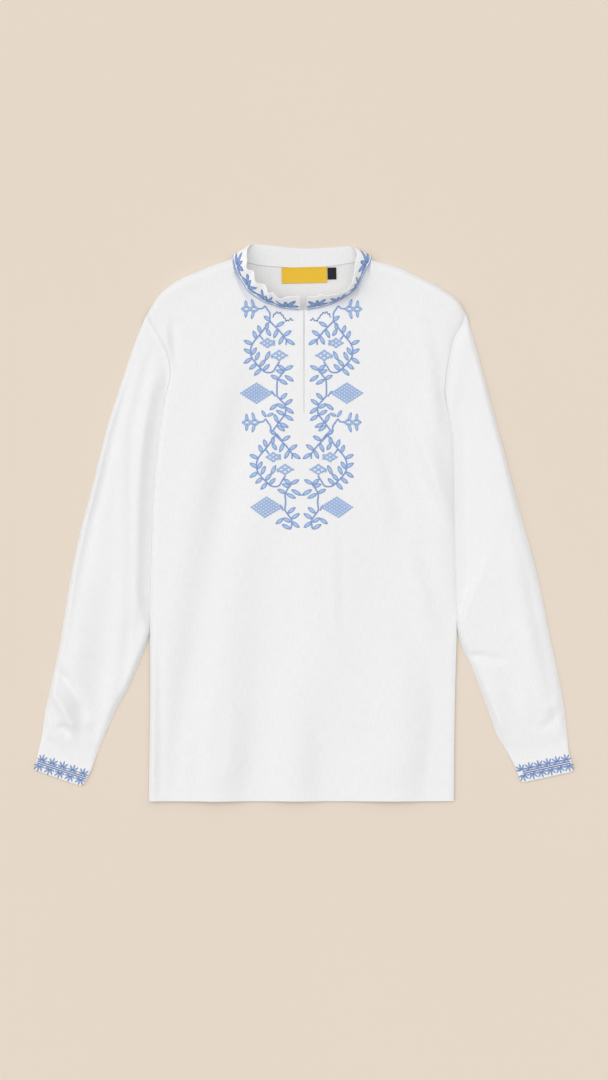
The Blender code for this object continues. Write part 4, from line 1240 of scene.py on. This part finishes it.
def addChest(side):
    name = "chestEmbroideryLeft" if side < 0 else "chestEmbroideryRight"
    knotX, knotY = chest["knot"]
    copies, stems = [], []

    def spot(x, y, lower):  # a chart place in the garment; lower is 0 or 1 for the repeat
        most, centre, spread = chest["drift"]
        x = x + lower * (chest["repeat"][0] + most * math.exp(-(((y - centre) / spread) ** 2)))
        y = y + lower * chest["repeat"][1]
        placeX = knotX + x
        return (placeX if side < 0 else chest["mirrorShift"] - placeX, knotY - y)

    def starSpot(x, y, lower):
        return spot(x + lower * chest["starRepeat"][0], y + lower * chest["starRepeat"][1], 0)

    def leaf(facts, lower, width=chest["leafWidth"]):
        base, tip = spot(facts[0], facts[1], lower), spot(facts[2], facts[3], lower)
        copies.append(leafFrom(*base, *tip, width))

    def lattice(x, y, halfWidth, halfHeight, cells, lower):  # crossed satin bars in a diamond
        over = 1.0 + 3.0 / halfWidth
        x = x + lower * chest["latticeDrift"] * (cells > 3)
        for k in range(cells + 1):
            shift = 2.0 * k / cells - 1.0
            for lean in (1, -1):
                middleX, middleY = x + shift * halfWidth / 2, y - lean * shift * halfHeight / 2
                reachX, reachY = over * halfWidth / 2, lean * over * halfHeight / 2
                start = spot(middleX - reachX, middleY - reachY, lower)
                end = spot(middleX + reachX, middleY + reachY, lower)
                copies.append(barFrom(*start, *end, 2.1 if cells > 3 else 2.4, 0.7 + 0.08 * lean))

    def star(x, y, lean, reach, lower):
        for up in (-1, 1):
            base, tip = starSpot(x, y + 2.5 * up, lower), starSpot(x - lean, y + up * reach, lower)
            copies.append(leafFrom(*base, *tip, 4.8))
        for toX, toY in ((-1, -1), (-1, 1), (1, -1), (1, 1)):
            start = starSpot(x + 5.8 * toX, y - 0.4 * toY, lower)
            end = starSpot(x - 0.4 * toX, y + 5.0 * toY, lower)
            copies.append(leafFrom(*start, *end, 3.5))

    for lower in (0, 1):
        for path in chest["stems"]:
            stems.append([spot(x, y, lower) for x, y in path])
        for facts in chest["leaves"]:
            leaf(facts, lower)
        for x, y, halfWidth, halfHeight, cells in chest["lattices"]:
            lattice(x, y, halfWidth, halfHeight, cells, lower)
        for facts in chest["stubs"]:
            near, far = spot(facts[0], facts[1], lower), spot(facts[2], facts[3], lower)
            copies.append(barFrom(*near, *far, 2.0))
        stems.append([starSpot(x, y, lower) for x, y in chest["starStem"]])
        for x, y, lean, reach in chest["stars"]:
            star(x, y, lean, reach, lower)
    for facts in chest["starLeaves"]:
        copies.append(leafFrom(*starSpot(facts[0], facts[1], 1), *starSpot(facts[2], facts[3], 1), 5.0))
    for path in chest["linkStems"]:
        stems.append([spot(x, y, 0) for x, y in path])
    for facts in chest["linkLeaves"]:
        leaf(facts, 0)
    zigzag = [spot(x, y, 0) for x, y in chest["zigzag"]]
    count = int(pathLength(zigzag) / 2.5)
    steps = smoothCurve(zigzag, (np.arange(count) + 0.5) / count)
    zigzags = []
    for k in range(count - 1):
        lift = 1.5 * (-1) ** k
        zigzags.append([(steps[k][0], steps[k][1] + lift), (steps[k + 1][0], steps[k + 1][1] - lift)])
    return (
        joinShapes(copies, name),
        stampStem(stems, satin["stemWidth"], satin["stemHeight"], name + "Stems"),
        stampStem(zigzags, 1.4, 0.7, name + "Zigzag"),
    )


frontTop = topOf(frontPanel)
for side in (-1, 1):
    leaves, cords, zigzag = addChest(side)
    for piece, material in ((leaves, satinThread), (cords, stemThread), (zigzag, darkThread)):
        drapeOn(piece, frontTop, 3.8)
        finishPiece(piece, material, [])
print("chest embroidered")


# Cuff embroidery: two rows of fans, back to back along a double line

fans = {
    "petals": [(0, 9.6), (36, 9.2), (-36, 9.2), (72, 7.0), (-72, 7.0)],  # turn, length
    "petalWidth": 2.5,
    "baseGap": 2.7,
    "lineGap": 1.35,
    "lineWidth": 1.7,
    "lineEnd": {"left": 0.98, "right": 0.90},  # share of the cuff's width, from its outer side
    "cuffCount": {"left": 5, "right": 6},
}


def fan(x, y, turn, size):
    copies = []
    for lean, length in fans["petals"]:
        angle = math.radians(turn + lean)
        reach = length * size / 2 + 0.8
        place = (x + reach * math.cos(angle), y + reach * math.sin(angle))
        petalWidth = fans["petalWidth"] * size
        copies.append(stampShape(leafShape, *place, turn + lean, length * size, petalWidth, 0.65))
    return copies


def addCuffFans(name, sections, key):
    sections = np.array(sections)
    count = fans["cuffCount"][key]
    middleRow = (sections[0] + sections[-1]) / 2
    outer, inner = middleRow[:2], middleRow[2:]
    direction = (inner - outer) / np.linalg.norm(inner - outer)
    width = np.linalg.norm(inner - outer)
    up = (sections[0, :2] + sections[0, 2:]) / 2 - (outer + inner) / 2
    up = up / np.linalg.norm(up)
    turn = math.degrees(math.atan2(up[1], up[0]))
    copies, stems = [], []
    pitch = width / count
    for k in range(count):
        for side, shift in ((1, 0.5), (-1, 0.42)):
            place = outer + (k + shift) * pitch * direction + side * fans["baseGap"] * up
            copies.extend(fan(place[0], place[1], turn + (0 if side > 0 else 180), 0.98))
    for side in (-1, 1):
        start = outer + 0.02 * width * direction + side * fans["lineGap"] * up
        end = outer + fans["lineEnd"][key] * width * direction + side * fans["lineGap"] * up
        stems.append([tuple(start), tuple((start + end) / 2), tuple(end)])
    return joinShapes(copies, name), stampStem(stems, fans["lineWidth"], 0.8, name + "Lines")


for name, sections, cloth, key in (
    ("cuffFansLeft", cuff["left"], cuffLeft, "left"),
    ("cuffFansRight", cuff["right"], cuffRight, "right"),
):
    tree = topOf(cloth)
    petals, lines = addCuffFans(name, sections, key)
    for piece, material in ((petals, cuffSatin), (lines, darkThread)):
        drapeOn(piece, tree, 3.6)
        finishPiece(piece, material, [])
print("cuffs embroidered")


# Collar embroidery: star sprays in a row above a line that follows the seam

spray = {
    "firstLeft": 18.0,
    "firstRight": 14.5,
    "pitch": 32.0,
    "countLeft": 4,
    "countRight": 4,
    "rise": 6.5,
    "petals": [(6, 16.5), (174, 16.5), (44, 17.5), (136, 17.5), (90, 12.5)],
    "petalWidth": 5.8,
    "lineRise": 2.0,
}


def bendOnBand(piece):  # x is the way along the seam, y the height on the band
    total = bandSeamLength[-1]
    for vertex in piece.data.vertices:
        along, height, out = vertex.co.x / mm, vertex.co.y / mm, vertex.co.z / mm
        place = np.interp(min(max(along, 0.0), total), bandSeamLength, np.arange(len(bandSeamLength)))
        k = int(min(place, len(bandSeamLength) - 2))
        part = place - k
        share = height / 26.7
        low = bandPoint(k, share, out + collar["wall"] / 2)
        high = bandPoint(k + 1, share, out + collar["wall"] / 2)
        vertex.co = Vector(((1 - part) * low + part * high) * mm)


def addCollarSprays():
    total = bandSeamLength[-1]
    places = [spray["firstLeft"] + k * spray["pitch"] for k in range(spray["countLeft"])]
    places += [total - spray["firstRight"] - k * spray["pitch"] for k in range(spray["countRight"])]
    copies = []
    for along in places:
        for turn, length in spray["petals"]:
            angle = math.radians(turn)
            x = along + (length / 2 + 0.4) * math.cos(angle)
            y = spray["rise"] + (length / 2 + 0.4) * math.sin(angle)
            copies.append(stampShape(leafShape, x, y, turn, length, spray["petalWidth"], 0.7))
    petals = joinShapes(copies, "collarSprays")
    reach = max(spray["firstLeft"] + (spray["countLeft"] - 0.35) * spray["pitch"], 0.0)
    lines = []
    for start, end in ((1.0, reach), (total - reach, total - 1.0)):
        count = int((end - start) / 3.0)
        lines.append([(start + (end - start) * k / count, spray["lineRise"]) for k in range(count + 1)])
    return petals, stampStem(lines, 1.7, 0.7, "collarLine")


collarPetals, collarLine = addCollarSprays()
for piece, material in ((collarPetals, deepSatin), (collarLine, stemThread)):
    bendOnBand(piece)
    finishPiece(piece, material, [])
print("collar embroidered")


# Sewing: one stitch modelled once and copied along each seam

def makeStitchShape():
    deselectAll()
    bpy.ops.mesh.primitive_cylinder_add(vertices=6, radius=0.5, depth=1.0)
    stitch = bpy.context.object
    stitch.name = "stitchShape"
    bpy.ops.object.mode_set(mode="EDIT")
    bpy.ops.mesh.select_all(action="SELECT")
    bpy.ops.transform.rotate(value=math.radians(90), orient_axis="Y", center_override=(0, 0, 0))
    bpy.ops.mesh.subdivide(number_cuts=1)
    bpy.ops.object.mode_set(mode="OBJECT")
    for vertex in stitch.data.vertices:
        vertex.co.z -= 1.2 * (2.0 * vertex.co.x) ** 2 - 0.3
    return stitch


stitchShape = makeStitchShape()
sewing = {"length": 2.4, "pitch": 3.2, "thickness": 0.42, "hemLine": 8.0, "slitLine": 2.6}


def stitchAlong(path, name, thickness=None, pitch=None, length=None):
    thickness = thickness or sewing["thickness"]
    pitch = pitch or sewing["pitch"]
    length = length or sewing["length"]
    count = max(1, int(pathLength(path) / pitch))
    places = smoothCurve(path, (np.arange(count) + 0.5) / count)
    ahead = smoothCurve(path, np.minimum((np.arange(count) + 0.6) / count, 1.0))
    copies = []
    for place, after in zip(places, ahead):
        turn = math.degrees(math.atan2(after[1] - place[1], after[0] - place[0]))
        copies.append(stampShape(stitchShape, place[0], place[1], turn, length, thickness, thickness))
    return joinShapes(copies, name)


hemY = body["hemY"] + sewing["hemLine"]
hemPath = [(x, hemY) for x in (-210.5, -100.0, 0.0, 100.0, 203.0)]
hemStitches = stitchAlong(hemPath, "hemStitches")
drapeOn(hemStitches, frontTop, 2.8)
finishPiece(hemStitches, whiteSewing, [])

slitLine = sewing["slitLine"]
slitPath = [
    (-slitLine, 286.0), (-slitLine, 220.0),
    (-slitLine * 0.8, body["slitEndY"] - 1.0), (0.0, body["slitEndY"] - 3.5),
]
slitCopies = []
for side in (1, -1):
    path = [(side * x, y) for x, y in slitPath]
    slitCopies.append(stitchAlong(path, "slitSide", 0.34, 2.8, 2.1))
slitStitches = joinShapes(slitCopies, "slitStitches")
drapeOn(slitStitches, frontTop, 3.8)
finishPiece(slitStitches, whiteSewing, [])
print("seams stitched")


# Neck label and size tab, both left plain

patch = {
    "cells": (40, 16),
    "border": 1.2,
    "label": {"centre": (0.5, 340.0), "size": (62.0, 22.0), "base": 0.95, "wall": 0.7, "turn": 1.3},
    "tab": {"centre": (38.3, 342.2), "size": (12.0, 16.5), "base": 0.95, "wall": 0.5, "turn": 1.3},
}


def addPatch(name, facts, seed):
    columns, rows = patch["cells"]
    u, v = np.meshgrid(crowded(columns), crowded(rows))
    sizeX, sizeY = facts["size"]
    cosine, sine = math.cos(math.radians(facts["turn"])), math.sin(math.radians(facts["turn"]))
    x = facts["centre"][0] + (u - 0.5) * sizeX * cosine - (v - 0.5) * sizeY * sine
    y = facts["centre"][1] + (u - 0.5) * sizeX * sine + (v - 0.5) * sizeY * cosine
    edge = np.minimum(np.minimum(u, 1 - u) * sizeX, np.minimum(v, 1 - v) * sizeY)
    folded = smoothStep((patch["border"] * 1.6 - edge) / 0.8) * 0.25
    z = facts["base"] + facts["wall"] + folded + 0.18 * softNoise(x, y, 9.0, seed)
    z = z - 0.3 * (1.0 - quarterRound(edge, 0.5))
    piece = clothGrid(name, columns, rows)
    layGrid(piece, columns, rows, np.dstack([x, y, z]), np.dstack([x, y]))
    pointUp(piece)
    wall = piece.modifiers.new("wall", "SOLIDIFY")
    wall.thickness = 0.6 * facts["wall"] * mm
    wall.offset = -1.0
    applyModifiers(piece)
    smoothShaded(piece)
    return piece


neckLabel = addPatch("neckLabel", patch["label"], 51)
finishPiece(neckLabel, yellowRibbon, ["neck_label"])
sizeTab = addPatch("sizeTab", patch["tab"], 52)
finishPiece(sizeTab, blackRibbon, ["size_tab"])

labelTop = topOf(neckLabel)
centreX, centreY = patch["label"]["centre"]
halfX, halfY = patch["label"]["size"][0] / 2 - 1.6, patch["label"]["size"][1] / 2 - 1.6
labelAngle = math.radians(patch["label"]["turn"])
labelTurn = math.cos(labelAngle), math.sin(labelAngle)
labelSides = []
for start, end in (
    ((-halfX, -halfY), (halfX, -halfY)),
    ((-halfX, halfY), (halfX, halfY)),
    ((-halfX, -halfY), (-halfX, halfY)),
    ((halfX, -halfY), (halfX, halfY)),
):
    path = []
    for t in (0.0, 0.5, 1.0):
        x, y = start[0] + t * (end[0] - start[0]), start[1] + t * (end[1] - start[1])
        turnedX = centreX + x * labelTurn[0] - y * labelTurn[1]
        turnedY = centreY + x * labelTurn[1] + y * labelTurn[0]
        path.append((turnedX, turnedY))
    labelSides.append(stitchAlong(path, "labelSide", 0.4, 2.4, 1.8))
labelStitches = joinShapes(labelSides, "labelStitches")
drapeOn(labelStitches, labelTop, 2.1)
finishPiece(labelStitches, goldSewing, [])
print("label sewn in")


for shape in (leafShape, barShape, stitchShape):
    bpy.data.objects.remove(shape, do_unlink=True)


# Floor, light and camera

studio = {
    "floor": (0.765, 0.672, 0.567, 1.0),
    "cameraHeight": 3.495,
    "aimY": -0.0229,
    "lens": 85.0,
    "ambient": 0.385,
    "lights": [  # name, power, where it comes from, spread in degrees
        ("keyLight", 1.06, (0.0, 0.16, 1.0), 60.0),
        ("leftLight", 0.98, (-1.3, 0.15, 1.0), 50.0),
        ("rightLight", 0.44, (1.3, 0.15, 1.0), 50.0),
        ("topLight", 0.22, (0.0, 1.25, 1.0), 50.0),
    ],
}


def addFloor():
    deselectAll()
    bpy.ops.mesh.primitive_plane_add(size=8.0, location=(0.0, 0.0, 0.0))
    floor = bpy.context.object
    floor.name = "floor"
    material, tree, shader = newMaterial("floorPaper")
    coordinates = addNode(tree, "ShaderNodeTexCoord").outputs["Object"]
    grain = addNoise(tree, coordinates, 3.0, (1.0, 1.0, 1.0), 3.0)
    darker = tuple(part * 0.985 for part in studio["floor"][:3]) + (1.0,)
    tree.links.new(mixColour(tree, grain, darker, studio["floor"]), shader.inputs["Base Color"])
    shader.inputs["Roughness"].default_value = 0.95
    shader.inputs["Specular IOR Level"].default_value = 0.1
    floor.data.materials.append(material)


def addLights():
    world = bpy.data.worlds.new("studio")
    world.use_nodes = True
    background = world.node_tree.nodes["Background"]
    background.inputs["Color"].default_value = (1.0, 0.99, 0.98, 1.0)
    background.inputs["Strength"].default_value = studio["ambient"]
    bpy.context.scene.world = world
    deselectAll()
    for name, power, origin, spread in studio["lights"]:
        bpy.ops.object.light_add(type="SUN", location=(0.0, 0.0, 3.0))
        light = bpy.context.object
        light.name = name
        light.data.energy = power
        light.data.angle = math.radians(spread)
        light.rotation_euler = Vector(origin).to_track_quat("Z", "Y").to_euler()


def addCamera():
    deselectAll()
    place = (0.0, studio["aimY"], studio["cameraHeight"])
    bpy.ops.object.camera_add(location=place, rotation=(0.0, 0.0, 0.0))
    camera = bpy.context.object
    camera.name = "camera"
    camera.data.lens = studio["lens"]
    camera.data.sensor_width = 36.0
    camera.data.clip_end = 20.0
    bpy.context.scene.camera = camera


addFloor()
addLights()
addCamera()
bpy.context.scene.view_settings.view_transform = "Standard"
print("studio ready")
